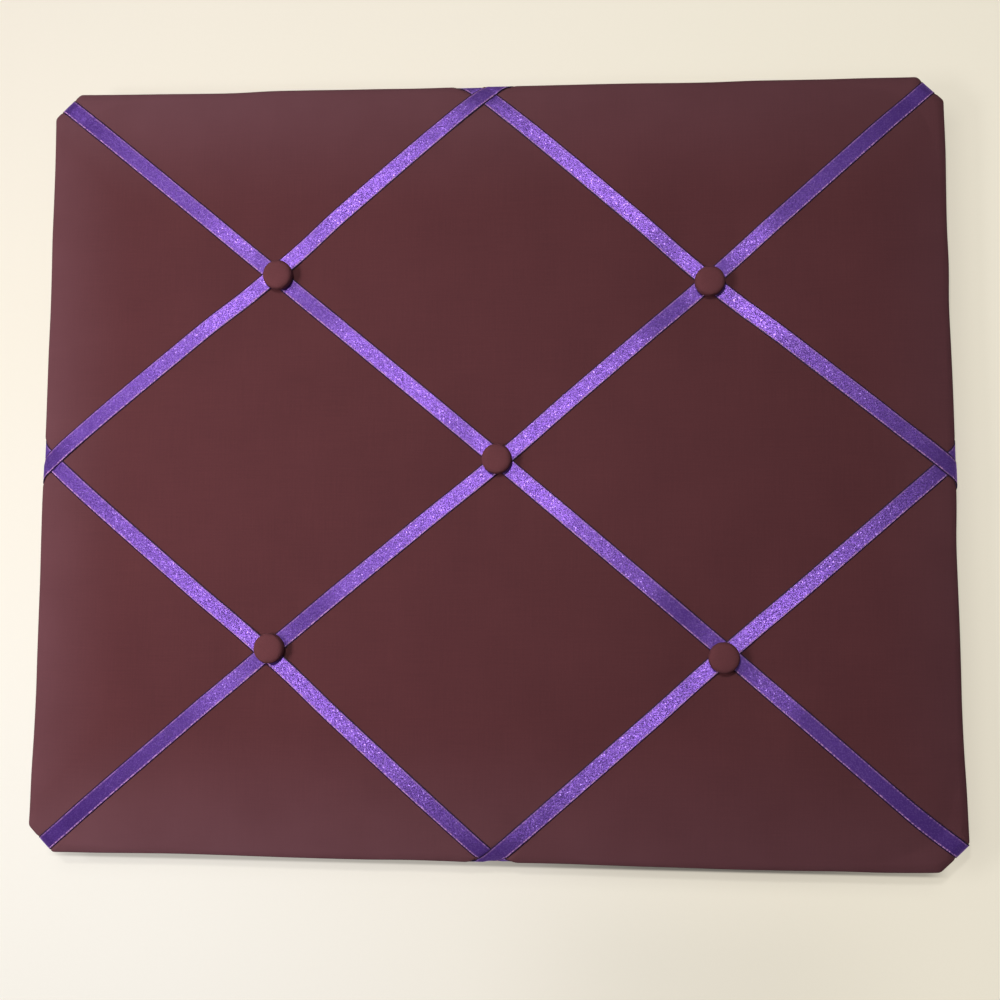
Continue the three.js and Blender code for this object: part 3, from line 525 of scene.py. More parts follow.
def along_steps(place, half, values):
    """Values at even steps from -half to half, joined by a smooth curve"""
    t = np.clip((place + half) / (2 * half), 0, 1) * (len(values) - 1)
    low = np.minimum(t.astype(int), len(values) - 2)
    held = np.pad(np.array(values, dtype=float), 1, mode="edge")
    a, b, c, d = (held[low + k] for k in range(4))
    u = t - low
    return b + u / 2 * (c - a + u * (2 * a - 5 * b + 4 * c - d + u * (3 * (b - c) + d - a)))


def stretched(points):
    """Points moved with the cloth where its edges wander"""
    place = np.array(points, dtype=float)
    moved = place.copy()
    for name, axis, sign in (("top", 2, 1), ("bottom", 2, -1), ("right", 0, 1), ("left", 0, -1)):
        hold = ease(1 - (half_size[axis] - sign * place[..., axis]) / wander_depth)
        wander = along_steps(place[..., 2 - axis], half_size[2 - axis], edge_wander[name]) / 10
        moved[..., axis] += sign * hold * wander
    return moved


# Mesh making


def piece_from(name, points, faces, finish, threads=None, lines=()):
    """A mesh object from points and threads in millimetres"""
    mesh = bpy.data.meshes.new(name)
    mesh.from_pydata((np.asarray(points, dtype=float) * mm).tolist(), lines, faces)
    if threads is not None:
        layer = mesh.uv_layers.new(name="threads")
        corner = np.empty(len(mesh.loops), dtype=np.int32)
        mesh.loops.foreach_get("vertex_index", corner)
        layer.data.foreach_set("uv", (np.asarray(threads)[corner] * mm).astype(np.float32).ravel())
    if finish is not None:
        mesh.materials.append(finish)
    mesh.shade_smooth()
    return linked(name, mesh)


def settled(source):
    """The object with its modifiers turned into a plain mesh"""
    name = source.name
    source.data.update()
    mesh = bpy.data.meshes.new_from_object(source.evaluated_get(bpy.context.evaluated_depsgraph_get()))
    bpy.data.objects.remove(source)
    mesh.name = name
    return linked(name, mesh)


def fitted(piece, body, slot, *nodes):
    """A piece set on its body in place of CAD nodes"""
    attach(piece, body)
    if nodes:
        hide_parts(*nodes)
    return piece


def faces_out(piece):
    shape = bmesh.new()
    shape.from_mesh(piece.data)
    bmesh.ops.remove_doubles(shape, verts=shape.verts, dist=1e-7)
    bmesh.ops.recalc_face_normals(shape, faces=shape.faces)
    shape.to_mesh(piece.data)
    shape.free()
    return piece


# Cloth cover: a grid over the front, whose rim is carried on round the roll, the side and the hem


close_zone, close_pitch, wide_pitch = 28, 1.1, 3.2


def grid_lines(half):
    """Lines across the front, close together near the corners and where ribbons meet in the middle of an edge"""
    stops = (-half, close_zone - half, -close_zone, close_zone, half - close_zone, half)
    pitches = (close_pitch, wide_pitch, close_pitch, wide_pitch, close_pitch)
    runs = [np.linspace(a, b, 2 * round((b - a) / pitch / 2) + 1)[:-1]
            for a, b, pitch in zip(stops[:-1], stops[1:], pitches)]
    return np.concatenate([*runs, [half]])


lines_x, lines_z = grid_lines(rim_x), grid_lines(rim_z)


def cut_corner(t, inset):
    """From the middle of a corner's cut along the side, as distances in from that side's end and from the side"""
    slope = math.sqrt(0.5)
    leg = max(corner_cut - inset * (2 - math.sqrt(2)), 0.5)
    reach = corner_zone + edge_roll - inset
    first = leg * slope
    turn = min(corner_round * math.tan(math.pi / 8), 0.9 * first)
    s = t * (first + reach - leg)
    u = np.clip((s - first + turn) / (2 * turn), 0, 1)
    bend_a = leg - turn * slope * (1 - u) ** 2 + turn * u ** 2
    bend_b = turn * slope * (1 - u) ** 2
    zones = [s < first - turn, s <= first + turn]
    return (np.select(zones, [leg / 2 + slope * s, bend_a], leg + s - first),
            np.select(zones, [leg / 2 - slope * s, bend_b], 0))


def rim_loop(inset, xs, zs, size=(board_width, board_height)):
    """The board's outline at an inset, clockwise from the top left, one point for each line that ends there"""
    w, h = size[0] / 2 - inset, size[1] / 2 - inset

    def side(place, half):
        t = (half - np.abs(place)) / corner_zone
        end, off = cut_corner(np.minimum(t, 1), inset)
        return t, end, off

    tx, ex, ox = side(xs, rim_x)
    tz, ez, oz = side(zs, rim_z)
    across_x = np.where(tx >= 1, xs, np.sign(xs) * (w - ex))
    across_z = np.where(tx >= 1, h, h - ox)
    down_z = np.where(tz >= 1, zs, np.sign(zs) * (h - ez))
    down_x = np.where(tz >= 1, w, w - oz)
    top = np.stack([across_x, across_z], 1)
    right = np.stack([down_x, down_z], 1)[::-1]
    sides = (top, right, (top * [1, -1])[::-1], (right * [-1, 1])[::-1])
    return np.concatenate([points[:-1] for points in sides])


def front_grid(xs, zs):
    """Places of the grid's points, drawn in at the cut corners"""
    x, z = np.meshgrid(xs, zs)
    a, b = rim_x - np.abs(x), rim_z - np.abs(z)
    u, v = np.minimum(a / corner_zone, 1), np.minimum(b / corner_zone, 1)
    top_a, top_b = cut_corner(u, edge_roll)
    side_b, side_a = cut_corner(v, edge_roll)
    half_leg = cut_corner(np.zeros(1), edge_roll)[0][0]
    near_a = (1 - v) * (top_a - u * corner_zone) + (1 - u) * side_a - (1 - u) * (1 - v) * half_leg
    near_b = (1 - v) * top_b + (1 - u) * (side_b - v * corner_zone) - (1 - u) * (1 - v) * half_leg
    return np.sign(x) * (rim_x - a - near_a), np.sign(z) * (rim_z - b - near_b)


def listed(*parts):
    """Grids of coordinates as one list of points"""
    return np.stack(parts, -1).reshape(-1, len(parts))


def indexes(x):
    """Indexes of a grid's points, in the grid's own shape"""
    return np.arange(x.size).reshape(x.shape)


def rim_order(at):
    """Indexes of a grid's rim, in the order of the outline"""
    return np.concatenate([side[:-1] for side in (at[-1], at[::-1, -1], at[0, ::-1], at[:, 0])])


def grid_faces(at):
    return np.stack([at[:-1, :-1], at[:-1, 1:], at[1:, 1:], at[1:, :-1]], -1).reshape(-1, 4).tolist()


def strip_faces(loops):
    """Faces between each loop of indexes and the next"""
    return [face for a, b in zip(loops[:-1], loops[1:])
            for face in np.stack([a, np.roll(a, -1), np.roll(b, -1), b], 1).tolist()]


def tube_faces(count, size):
    """Faces of a tube of loops, closed at both ends"""
    loops = np.arange(count).reshape(-1, size)
    return strip_faces(loops) + [loops[0].tolist(), loops[-1][::-1].tolist()]


def finer(coarse):
    """Values on a grid with each cell halved, along smooth curves"""
    for axis in (0, 1):
        line = np.moveaxis(coarse, axis, 0)
        padded = np.concatenate([2 * line[:1] - line[1:2], line, 2 * line[-1:] - line[-2:-1]])
        middle = (9 * (padded[1:-2] + padded[2:-1]) - padded[:-3] - padded[3:]) / 16
        full = np.empty((2 * len(line) - 1, *line.shape[1:]))
        full[0::2], full[1::2] = line, middle
        coarse = np.moveaxis(full, 0, axis)
    return coarse


swell_limit, seat_hold, sim_frames = 1.3, 15, 24


def swelled_front(xs, zs):
    """How far the wadding lifts the cloth between the ribbons: a cloth simulation, held at ribbons, seats and rim"""
    x, z = front_grid(xs[::2], zs[::2])
    y = padded_depth(x, z)
    cloth = piece_from("front_cloth", listed(x, y, z), grid_faces(indexes(x)), None)
    held = (np.minimum(*ribbon_distances(x, z)) < channel) | (from_crossing(x, z) < seat_hold)
    held[[0, -1], :] = True
    held[:, [0, -1]] = True
    grip = cloth.vertex_groups.new(name="held")
    grip.add(np.flatnonzero(held).tolist(), 1.0, "REPLACE")
    sim = cloth.modifiers.new("stretch", "CLOTH")
    sim.settings.quality, sim.settings.mass = 6, 0.15
    sim.settings.tension_stiffness = sim.settings.compression_stiffness = 12
    sim.settings.shear_stiffness, sim.settings.bending_stiffness = 6, 0.4
    sim.settings.vertex_group_mass = "held"
    sim.settings.use_pressure, sim.settings.uniform_pressure_force = True, 2.5
    sim.settings.effector_weights.gravity = 0
    sim.collision_settings.use_collision = False
    sim.point_cache.frame_start, sim.point_cache.frame_end = 1, sim_frames
    for number in range(1, sim_frames + 1):
        scene.frame_set(number)
    evaluated = cloth.evaluated_get(bpy.context.evaluated_depsgraph_get())
    depth = np.array([v.co.y for v in evaluated.data.vertices]) / mm
    bpy.data.objects.remove(cloth)
    scene.frame_set(1)
    lift = np.maximum(y - depth.reshape(y.shape), 0)
    return np.maximum(finer(swell_limit * np.tanh(lift / swell_limit)), 0)


swell = swelled_front(lines_x, lines_z)


def cover_piece():
    x, z = front_grid(lines_x, lines_z)
    y = padded_depth(x, z) - swell + rim_sink(x, z)
    rim, outline = (rim_loop(inset, lines_x, lines_z) for inset in (edge_roll, 0))
    way_out = (outline - rim) / np.linalg.norm(outline - rim, axis=1)[:, None]
    runs = ((0, roll_length, 11), (roll_length, side_end, 4), (side_end, fold_end, 5),
            (fold_end, fold_end + hem_width - fold_radius, 7))
    travels = np.concatenate([np.linspace(*run)[1:] for run in runs])
    rings = [edge_ring(lines_x, lines_z, *ring) for ring in zip(travels, *edge_profile(travels))]
    points = np.concatenate([listed(x, y, z), *rings])
    threads = np.concatenate([listed(x, z), *(rim + way_out * travel for travel in travels)])
    hoops = x.size + np.arange(len(rings) * len(rim)).reshape(len(rings), -1)
    faces = grid_faces(indexes(x)) + strip_faces([rim_order(indexes(x)), *hoops])
    cover = piece_from("cover", stretched(points), faces, cover_cotton, threads)
    if cover.data.polygons[0].normal.y > 0:
        cover.data.flip_normals()
    thick = cover.modifiers.new("cloth_thickness", "SOLIDIFY")
    thick.thickness, thick.offset = cloth_thick * mm, -1
    return settled(cover)


cover = fitted(cover_piece(), "board", "cloth", "cloth_cover")

# Wadding, under the cover and round the sides of the core


wadding_gap, wadding_spread, room_gap = cloth_thick + 0.3, 1.2, 0.15


def wadding_piece():
    xs, zs = lines_x[::2], lines_z[::2]
    x, z = front_grid(xs, zs)
    y = padded_depth(x, z) - swell[::2, ::2] + rim_sink(x, z, wadding_spread) + wadding_gap
    travels = np.concatenate([np.linspace(0, roll_length, 11)[1:], np.linspace(roll_length, side_end, 5)[1:-1]])
    rings = [(travel, inset + wadding_gap * out, depth - wadding_gap * back, out, back)
             for travel, inset, depth, out, back in zip(travels, *edge_profile(travels))]
    rings += [(side_end, wadding_gap, core_back, 1, 0)]
    points = [listed(x, y, z)]
    points += [edge_ring(xs, zs, *ring, wadding_spread) for ring in rings]
    points = [stretched(part) for part in points]
    core_low, core_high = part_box("core_board")
    room = rim_loop(-room_gap, xs, zs, [(core_high[axis] - core_low[axis]) / mm for axis in (0, 2)])
    room_front = core_front - layer_gap
    for depth in (core_back, room_front):
        points.append(listed(room[:, 0], np.full(len(room), depth), room[:, 1]))
    rim = rim_order(indexes(x))
    hoops = x.size + np.arange((len(points) - 1) * len(rim)).reshape(-1, len(rim))
    inner = np.full(x.shape, -1)
    inner.reshape(-1)[rim] = hoops[-1]
    within_x, within_z = x[1:-1, 1:-1], z[1:-1, 1:-1]
    inner[1:-1, 1:-1] = hoops[-1, -1] + 1 + indexes(within_x)
    points.append(listed(within_x, np.full_like(within_x, room_front), within_z))
    faces = grid_faces(indexes(x)) + strip_faces([rim, *hoops]) + grid_faces(inner)
    return faces_out(piece_from("batting", np.concatenate(points), faces, white_batting))


wadding = fitted(wadding_piece(), "board", "wadding", "wadding")

# Ribbons: fine strips that lie on the cloth, cross over one another and wrap round to their stapled tails

# Section of a ribbon, from one selvedge to the other over the top, and back underneath
section_top = [(-4.6, 0.08), (-4.52, 0.18), (-4.32, 0.26), (-4.1, 0.28), (-3.7, 0.25), (-2.5, 0.245),
               (-1.2, 0.247), (0, 0.25)]
section_over = section_top + [(-w, h) for w, h in section_top[-2::-1]]
section_under = [(4.44, 0.05), (4.2, 0.0), (2.2, 0.0), (0, 0.0), (-2.2, 0.0), (-4.2, 0.0), (-4.44, 0.05)]
section = np.array(section_over + section_under)
lift_step, lift_fade, meeting_half, meeting_fade = ribbon_gap + ribbon_thick, 18, 10, 12
station_pitch, edge_pitch, tail_stations, tail_end = 2.2, 0.8, 14, 6
bend_before, bend_after = 8, 4


def section_at(centre, course):
    """A ribbon's section laid across its course, as seen from the front"""
    return centre[0] - course[1] * section[:, 0], centre[1] + course[0] * section[:, 0]


def knot_lift(away):
    """How far the upper ribbon is lifted at a distance from a crossing"""
    return lift_step * (1 - ease((away - channel) / lift_fade))


def over_edge(name, x, z, height):
    """Points of a straight ribbon carried round an edge, at a height off the cloth"""
    edge = edges[name]
    travel, along = edge.travel(x, z), edge.place(x, z)
    inset, depth, out, back = edge_profile(travel)
    height = height - np.where(travel <= 0, rim_sink(x, z), edge_press(name, along, travel))
    reach = edge.reach - inset + height * out
    return np.stack([edge.out[0] * reach + edge.along[0] * along, depth + height * back,
                     edge.out[1] * reach + edge.along[1] * along], -1)


def ribbon_end(label, place, knot, over):
    """Sections from a knot outwards over an edge to the end of the tail"""
    edge = edges[place]
    course, rate, first = edge.course(knot)
    low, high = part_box(f"staple_{label}_{place}")
    staple = np.array([low[0] + high[0], low[2] + high[2]]) / 2 / mm
    tail = fold_end - fold_radius + edge.reach - float(staple @ edge.out)
    bend, flat, end = (np.array([-bend_before, fold_end + bend_after, tail]) - first) / rate
    runs = np.concatenate([np.arange(0, bend, station_pitch)[1:], np.arange(bend, flat, edge_pitch),
                           np.linspace(flat, end + tail_end, tail_stations)])
    meeting = (float(edge.travel(*edge.target)) - first) / rate
    miss = float((staple - knot - course * (tail - first) / rate) @ edge.along)
    rows = []
    for run in runs:
        turned_over = ease((first + run * rate - roll_length) / (fold_end - roll_length))
        centre = knot + course * run + edge.along * miss * turned_over
        lift = lift_step * (1 - ease((abs(run - meeting) * rate - meeting_half) / meeting_fade)) if over[1] else 0
        lift += knot_lift(run) if over[0] else 0
        row = over_edge(place, *section_at(centre, course), ribbon_gap + lift + section[:, 1])
        row[:, 1] += tuft_sink(*centre)
        rows.append((run, row))
    return rows, course


def ribbon_piece(label):
    (start, finish), knots, over = ribbon_courses[label]
    places = [np.array(crossings[k]) for k in knots]
    head, head_course = ribbon_end(label, start, places[0], (knots[0] in over, start in over))
    tail, tail_course = ribbon_end(label, finish, places[-1], (knots[-1] in over, finish in over))
    mirrored = [int(np.argmin(np.abs(section - p).sum(1))) for p in section * [-1, 1]]
    stations = [(-run, row[mirrored]) for run, row in reversed(head)]
    ways = [-head_course, *(heading(a, b) for a, b in zip(places[:-1], places[1:])), tail_course]
    total = 0.0
    for i, knot in enumerate(places):
        legs, length = [(0.0, heading((0, 0), ways[i] + ways[i + 1]))], 0.0
        if i < len(places) - 1:
            length = float(np.hypot(*(places[i + 1] - knot)))
            legs += [(s, ways[i + 1]) for s in np.linspace(0, length, int(length / station_pitch))[1:-1]]
        for s, course in legs:
            centre = knot + ways[i + 1] * s
            lift = knot_lift(s) if knots[i] in over else 0
            if length and knots[i + 1] in over:
                lift += knot_lift(length - s)
            x, z = section_at(centre, course)
            y = pad_front + tuft_sink(*centre) - ribbon_gap - lift - section[:, 1]
            stations.append((total + s, listed(x, y, z)))
        total += length
    stations += [(total + run, row) for run, row in tail]
    runs = np.array([run for run, _ in stations])
    points = np.concatenate([row for _, row in stations])
    threads = listed(np.repeat(runs, len(section)), np.tile(section[:, 0], len(runs)))
    satin = rising_satin if label in rising_ribbons else falling_satin
    faces = tube_faces(len(points), len(section))
    return faces_out(piece_from(f"satin_{label}", stretched(points), faces, satin, threads))


for label in ribbon_courses:
    fitted(ribbon_piece(label), "board", "ribbon", f"ribbon_{label}")

# Covered buttons

button_radius, button_base, button_side, button_height, button_tuck = 7.8, -24.4, 2.0, 6.0, 2.4
button_turn, turn_drop, crown_round, crown_rise = 1.2, 0.5, 0.46, 0.62
button_sides, gathers, gather_depth, gather_height = 72, 17, 0.006, 3.2


def button_profile(inset):
    """Radius and height of a covered button from its tuck underneath to the crown"""
    radius, top, low = button_radius - inset, button_height - inset, button_side - turn_drop - inset
    under = [(radius - button_tuck + inset, inset), (radius - button_turn, inset)]
    turn = [(radius - button_turn + button_turn * math.sin(a), inset + low * (1 - math.cos(a)))
            for a in np.linspace(0, math.pi / 2, 6)[1:]]
    dome = [(radius * math.cos(a) ** crown_round, button_side + (top - button_side) * math.sin(a) ** crown_rise)
            for a in np.linspace(0, math.pi / 2, 19)]
    return under + turn + dome


def button_piece(place, turn):
    cx, cz = buttons[place]
    outer, inner = button_profile(0), button_profile(cloth_thick)
    profile = np.array(outer + inner[::-1])
    unrolled = np.concatenate([[0], np.cumsum(np.hypot(*np.diff(profile, axis=0).T))])
    from_crown = np.abs(unrolled[len(outer) - 1] - unrolled)[:, None]
    angles = np.linspace(0, 2 * math.pi, button_sides, endpoint=False)
    radius, height = profile.T[:, :, None]
    r = radius * (1 + gather_depth * np.sin(gathers * angles + turn) * ease(1 - height / gather_height))
    depth = button_base - height + np.zeros_like(r)
    points = listed(cx + r * np.cos(angles), depth, cz + r * np.sin(angles))
    threads = listed(from_crown * np.cos(angles + turn), from_crown * np.sin(angles + turn))
    faces = strip_faces(np.roll(indexes(depth), -len(outer), axis=0))
    return faces_out(piece_from(f"covered_button_{place}", points, faces, button_cotton, threads))


for place, turn in zip(buttons, (0.3, 0.9, 0.1, 0.62, 1.2)):
    fitted(button_piece(place, turn), "board", "cloth", f"button_cloth_{place}")

# Geometry nodes for what follows a path or repeats


class Recipe(Graph):
    """A geometry node tree with named inputs, put on an object as a modifier"""

    def __init__(self, name, inputs):
        super().__init__(bpy.data.node_groups.new(name, "GeometryNodeTree"))
        face = self.tree.interface
        face.new_socket("Geometry", in_out="INPUT", socket_type="NodeSocketGeometry")
        face.new_socket("Geometry", in_out="OUTPUT", socket_type="NodeSocketGeometry")
        self.names = {}
        for label, kind in inputs.items():
            self.names[label] = face.new_socket(label, in_out="INPUT", socket_type=f"NodeSocket{kind}").identifier
        self.given = self.tree.nodes.new("NodeGroupInput")

    def input(self, label):
        return Wire(self, self.given.outputs[label])

    def ends_in(self, geometry):
        smooth = self.node("GeometryNodeSetShadeSmooth", {"Geometry": geometry})
        whole = self.node("GeometryNodeRealizeInstances", {"Geometry": smooth})
        painted = self.node("GeometryNodeSetMaterial", {"Geometry": whole, "Material": self.input("Finish")})
        self.node("NodeGroupOutput", {"Geometry": painted})
        return self

    def made(self, name, points, lines, values):
        """A plain mesh from a path or from places in millimetres, with the recipe's inputs set"""
        source = piece_from(name, points, [], None, lines=lines)
        modifier = source.modifiers.new("recipe", "NODES")
        modifier.node_group = self.tree
        for label, value in values.items():
            modifier[self.names[label]] = value
        return settled(source)


def wire_recipe():
    """Round or lobed wire along a path, with its strands laid round it"""
    r = Recipe("wire_on_path", {"Width": "Float", "Strands": "Float", "Strand depth": "Float",
                                "Turns per metre": "Float", "Finish": "Material"})
    path = r.node("GeometryNodeMeshToCurve", {"Mesh": r.input("Geometry")})
    along = r.node("GeometryNodeSplineParameter", None, "Length")
    laid = r.node("GeometryNodeSetCurveTilt",
                  {"Curve": path, "Tilt": along * r.input("Turns per metre") * (2 * math.pi)})
    ring = r.node("GeometryNodeCurvePrimitiveCircle", {"Resolution": 24, "Radius": r.input("Width") * 0.5})
    x, y, _ = r.parts(r.node("GeometryNodeInputPosition"))
    lobe = 1 + r.input("Strand depth") * r.maths("COSINE", r.maths("ARCTAN2", y, x) * r.input("Strands"))
    lobed = r.node("GeometryNodeSetPosition", {"Geometry": ring, "Position": r.xyz(x * lobe, y * lobe)})
    body = r.node("GeometryNodeCurveToMesh", {"Curve": laid, "Profile Curve": lobed, "Fill Caps": True})
    return r.ends_in(body)


def fastener_recipe():
    """A fastener at each place, turned as it happened to stop"""
    r = Recipe("fasteners_at_places", {"Fastener": "Object", "Turn seed": "Int", "Finish": "Material"})
    one = r.node("GeometryNodeObjectInfo", {"Object": r.input("Fastener")}, "Geometry", transform_space="ORIGINAL")
    turn = r.node("FunctionNodeRandomValue", {2: 0.0, 3: 2 * math.pi, "Seed": r.input("Turn seed")}, 1,
                  data_type="FLOAT")
    places = r.node("GeometryNodeMeshToPoints", {"Mesh": r.input("Geometry")})
    put = r.node("GeometryNodeInstanceOnPoints",
                 {"Points": places, "Instance": one, "Rotation": r.xyz(0.0, turn)})
    return r.ends_in(put)


wire_on_path, fasteners_at_places = wire_recipe(), fastener_recipe()


def joined_lines(paths):
    """Points and edges of separate paths in one list"""
    points, lines = [], []
    for path in paths:
        lines += [(len(points) + i, len(points) + i + 1) for i in range(len(path) - 1)]
        points += [tuple(p) for p in path]
    return points, lines


# Button twines, through the core and bent over on its back

twine_back, twine_bend, twine_tail = core_back + layer_gap + 0.6, 3.0, 14.0


def twine_path(x, z):
    straight = [(x, y, z) for y in np.arange(button_base, twine_back - twine_bend, 0.4)]
    bend = [(x, twine_back - twine_bend * (1 - t) ** 2, z - twine_bend * t ** 2) for t in np.linspace(0, 1, 12)]
    tail = [(x, twine_back, z - twine_bend - s) for s in np.arange(0.4, twine_tail + 0.1, 0.4)]
    return straight + bend + tail


points, lines = joined_lines([twine_path(*centre) for centre in buttons.values()])
twines = wire_on_path.made("laid_twines", points, lines, {
    "Width": 1.06 * mm, "Strands": 3.0, "Strand depth": 0.13, "Turns per metre": 260.0, "Finish": natural_thread})
fitted(twines, "board", "twine", *(f"button_twine_{place}" for place in buttons))

# Ring hangers

hanger_out, hanger_up, strap_width, strap_length, sheet = 150, 98, 10, 25, 0.8
screw_drop, screw_room, strap_edge, sharp_angle = 18, 2.05, 0.12, math.radians(35)
ring_wire, ring_arm, ring_corner, ring_split = 2.0, 5.0, 2.0, 0.4
loop_inside = ring_wire / 2 + 0.3
loop_outside, leaf = loop_inside + sheet, 2 * sheet
ring_radius = strap_width / 2 + ring_corner
ring_tilt = math.asin((leaf + 0.3 + ring_wire / 2 - loop_outside) / (ring_arm + ring_radius))


def arc(radius, a, b, start, end, count):
    """Points on part of a circle about a place"""
    return [(a + radius * math.cos(t), b + radius * math.sin(t)) for t in np.linspace(start, end, count)]


def ring_path(x):
    bar, split = ring_radius - ring_corner, ring_split / 2
    half = [(split + (bar - split) * t, 0) for t in np.linspace(0, 1, 8)]
    half += arc(ring_corner, bar, -ring_corner, math.pi / 2, 0, 9)[1:]
    half += [(ring_radius, -ring_corner - (ring_arm - ring_corner) * t) for t in np.linspace(0, 1, 5)[1:]]
    half += arc(ring_radius, 0, -ring_arm, 0, -math.pi / 2, 20)[1:]
    flat = half + [(-a, b) for a, b in half[-2::-1]]
    y0 = backing_back + loop_outside
    return [(x + a, y0 - b * math.sin(ring_tilt), hanger_up + b * math.cos(ring_tilt)) for a, b in flat]


def prism(name, outline, axis, low, high, finish=None):
    """A solid with a flat outline, along x or y"""
    points = [(t, a, b) if axis == "x" else (a, t, b) for t in (low, high) for a, b in outline]
    return faces_out(piece_from(name, points, tube_faces(len(points), len(outline)), finish))


def cut_by(piece, cutters, soft_edge=0):
    """The piece kept to or freed of each cutter, as a plain mesh"""
    for how, cutter in cutters:
        cut = piece.modifiers.new(cutter.name, "BOOLEAN")
        cut.operation, cut.object, cut.solver = how, cutter, "EXACT"
    if soft_edge:
        edge = piece.modifiers.new("soft_edges", "BEVEL")
        edge.width, edge.segments, edge.limit_method, edge.angle_limit = soft_edge * mm, 2, "ANGLE", math.radians(40)
    made = settled(piece)
    for _, cutter in cutters:
        bpy.data.objects.remove(cutter)
    return made


def strap_piece(side, x):
    """Folded sheet round the ring's bar, with a round end and a screw hole"""
    y0, centre, half = backing_back, backing_back + loop_outside, strap_width / 2
    foot, past = hanger_up - strap_length, (y0 - 1, y0 + 6)
    bend = arc(loop_outside, centre, hanger_up, math.pi, -math.pi / 6, 36)
    outline = [(y0, foot), *bend, (y0 + leaf, hanger_up - 2 * loop_outside), (y0 + leaf, foot)]
    strap = prism(f"folded_strap_{side}", outline, "x", x - half, x + half, plated_brass)
    blank = arc(half, x, foot + half, -math.pi, 0, 40) + [(x + half, hanger_up + 4), (x - half, hanger_up + 4)]
    bar_room, room = (arc(radius, a, b, 0, 2 * math.pi, 49)[:-1] for radius, a, b in (
        (loop_inside, centre, hanger_up), (screw_room, x, hanger_up - screw_drop)))
    made = cut_by(strap, [("INTERSECT", prism("blank", blank, "y", *past)),
                          ("DIFFERENCE", prism("bar_room", bar_room, "x", x - 8, x + 8)),
                          ("DIFFERENCE", prism("screw_room", room, "y", *past))], strap_edge)
    made.data.shade_smooth()
    made.data.set_sharp_from_angle(angle=sharp_angle)
    return made


def turned(name, profile, finish, count=48):
    """A shape turned about the Y axis, from its radius and depth"""
    angles = np.linspace(0, 2 * math.pi, count, endpoint=False)
    points = [(r * math.cos(a), y, r * math.sin(a)) for r, y in profile for a in angles]
    return faces_out(piece_from(name, points, tube_faces(len(points), count), finish))


def screw_body():
    """Pan-headed wood screw along Y, its seat at the origin, with thread and a cross recess"""
    head = [(3.42 + 0.08 * math.sin(a), 0.08 - 0.08 * math.cos(a)) for a in np.linspace(0, math.pi / 2, 3)]
    crown = [(2.5 + 1.0 * math.cos(a) ** 0.8, 1.05 + 1.15 * math.sin(a)) for a in np.linspace(0, math.pi / 2, 9)]
    shank = [(0.1, -12.0), (1.2, -9.6)]
    for k in range(7):
        y = -9.4 + 1.25 * k
        shank += [(1.25, y), (1.75, y + 0.35), (1.75, y + 0.5), (1.25, y + 0.9)]
    shank += [(1.4, -0.4), (1.4, 0.0)]
    body = turned("screw_body", shank + [(3.3, 0.0)] + head + crown + [(0.05, 2.2)], None, 40)
    arm = [(-1.6, -0.4), (1.6, -0.4), (1.6, 0.4), (-1.6, 0.4)]
    slots = {"slot_level": arm, "slot_upright": [(-b, a) for a, b in arm]}
    return cut_by(body, [("DIFFERENCE", prism(name, slot, "y", 1.0, 3.0)) for name, slot in slots.items()])


for side, sign in (("left", -1), ("right", 1)):
    path = ring_path(sign * hanger_out)
    ring = wire_on_path.made(f"bent_ring_{side}", *joined_lines([path]), {
        "Width": ring_wire * mm, "Strands": 1.0, "Strand depth": 0.0, "Turns per metre": 0.0,
        "Finish": plated_brass})
    fitted(ring, f"{side}_ring", "hanger_brass", f"hanger_ring_{side}")
    fitted(strap_piece(side, sign * hanger_out), "board", "hanger_brass", f"hanger_strap_{side}")

screw = screw_body()
screw_places = [(sign * hanger_out, backing_back + leaf, hanger_up - screw_drop) for sign in (-1, 1)]
screws = fasteners_at_places.made("hanger_screws", screw_places, [], {
    "Fastener": screw, "Turn seed": 5, "Finish": plated_brass})
bpy.data.objects.remove(screw)
screws.data.set_sharp_from_angle(angle=sharp_angle)
fitted(screws, "board", "hanger_brass", "hanger_screw_left", "hanger_screw_right")

# Tacks round the backing board, which hold it over the hem

tack_inset, tack_pitch, tack_end = 20, 62, 8


def tack_places():
    w, h = board_width / 2 - tack_inset, board_height / 2 - tack_inset
    along = np.linspace(tack_end - w, w - tack_end, round(2 * w / tack_pitch) + 1)
    down = np.linspace(tack_end - h, h - tack_end, round(2 * h / tack_pitch) + 1)[1:-1]
    level = [(x, backing_back, sign * h) for x in along for sign in (-1, 1)]
    return level + [(sign * w, backing_back, z) for z in down for sign in (-1, 1)]


tack = turned("tack_body", [(0.1, -6.5), (0.5, -5.4), (0.55, 0.0), (2.1, 0.0), (2.2, 0.12), (2.0, 0.42), (1.5, 0.68),
                            (0.8, 0.82), (0.05, 0.86)], None, 24)
tacks = fasteners_at_places.made("backing_tacks", tack_places(), [], {
    "Fastener": tack, "Turn seed": 11, "Finish": galvanised_wire})
bpy.data.objects.remove(tack)
fitted(tacks, "board", "staple_steel")

# Bumpers at the foot

bumper_out, bumper_down, bumper_high, bumper_round = 200, 165, 4.5, 0.7
bumper_edge = arc(bumper_round, bumper_high - bumper_round, -bumper_round, 0.25, math.pi / 2, 7)
bumper_profile = [(0.05, -bumper_high), (5.7, -bumper_high), (5.95, -4.42), (6.0, -4.2), *bumper_edge,
                  (2.0, 0.0), (0.05, 0.0)]
for side, sign in (("left", -1), ("right", 1)):
    bumper = turned(f"soft_bumper_{side}", bumper_profile, black_rubber)
    bumper.data.transform(Matrix.Translation(Vector((sign * bumper_out, 0, -bumper_down)) * mm))
    fitted(bumper, "board", "bumper_rubber", f"bumper_{side}")

# Finishes of the CAD nodes that stay

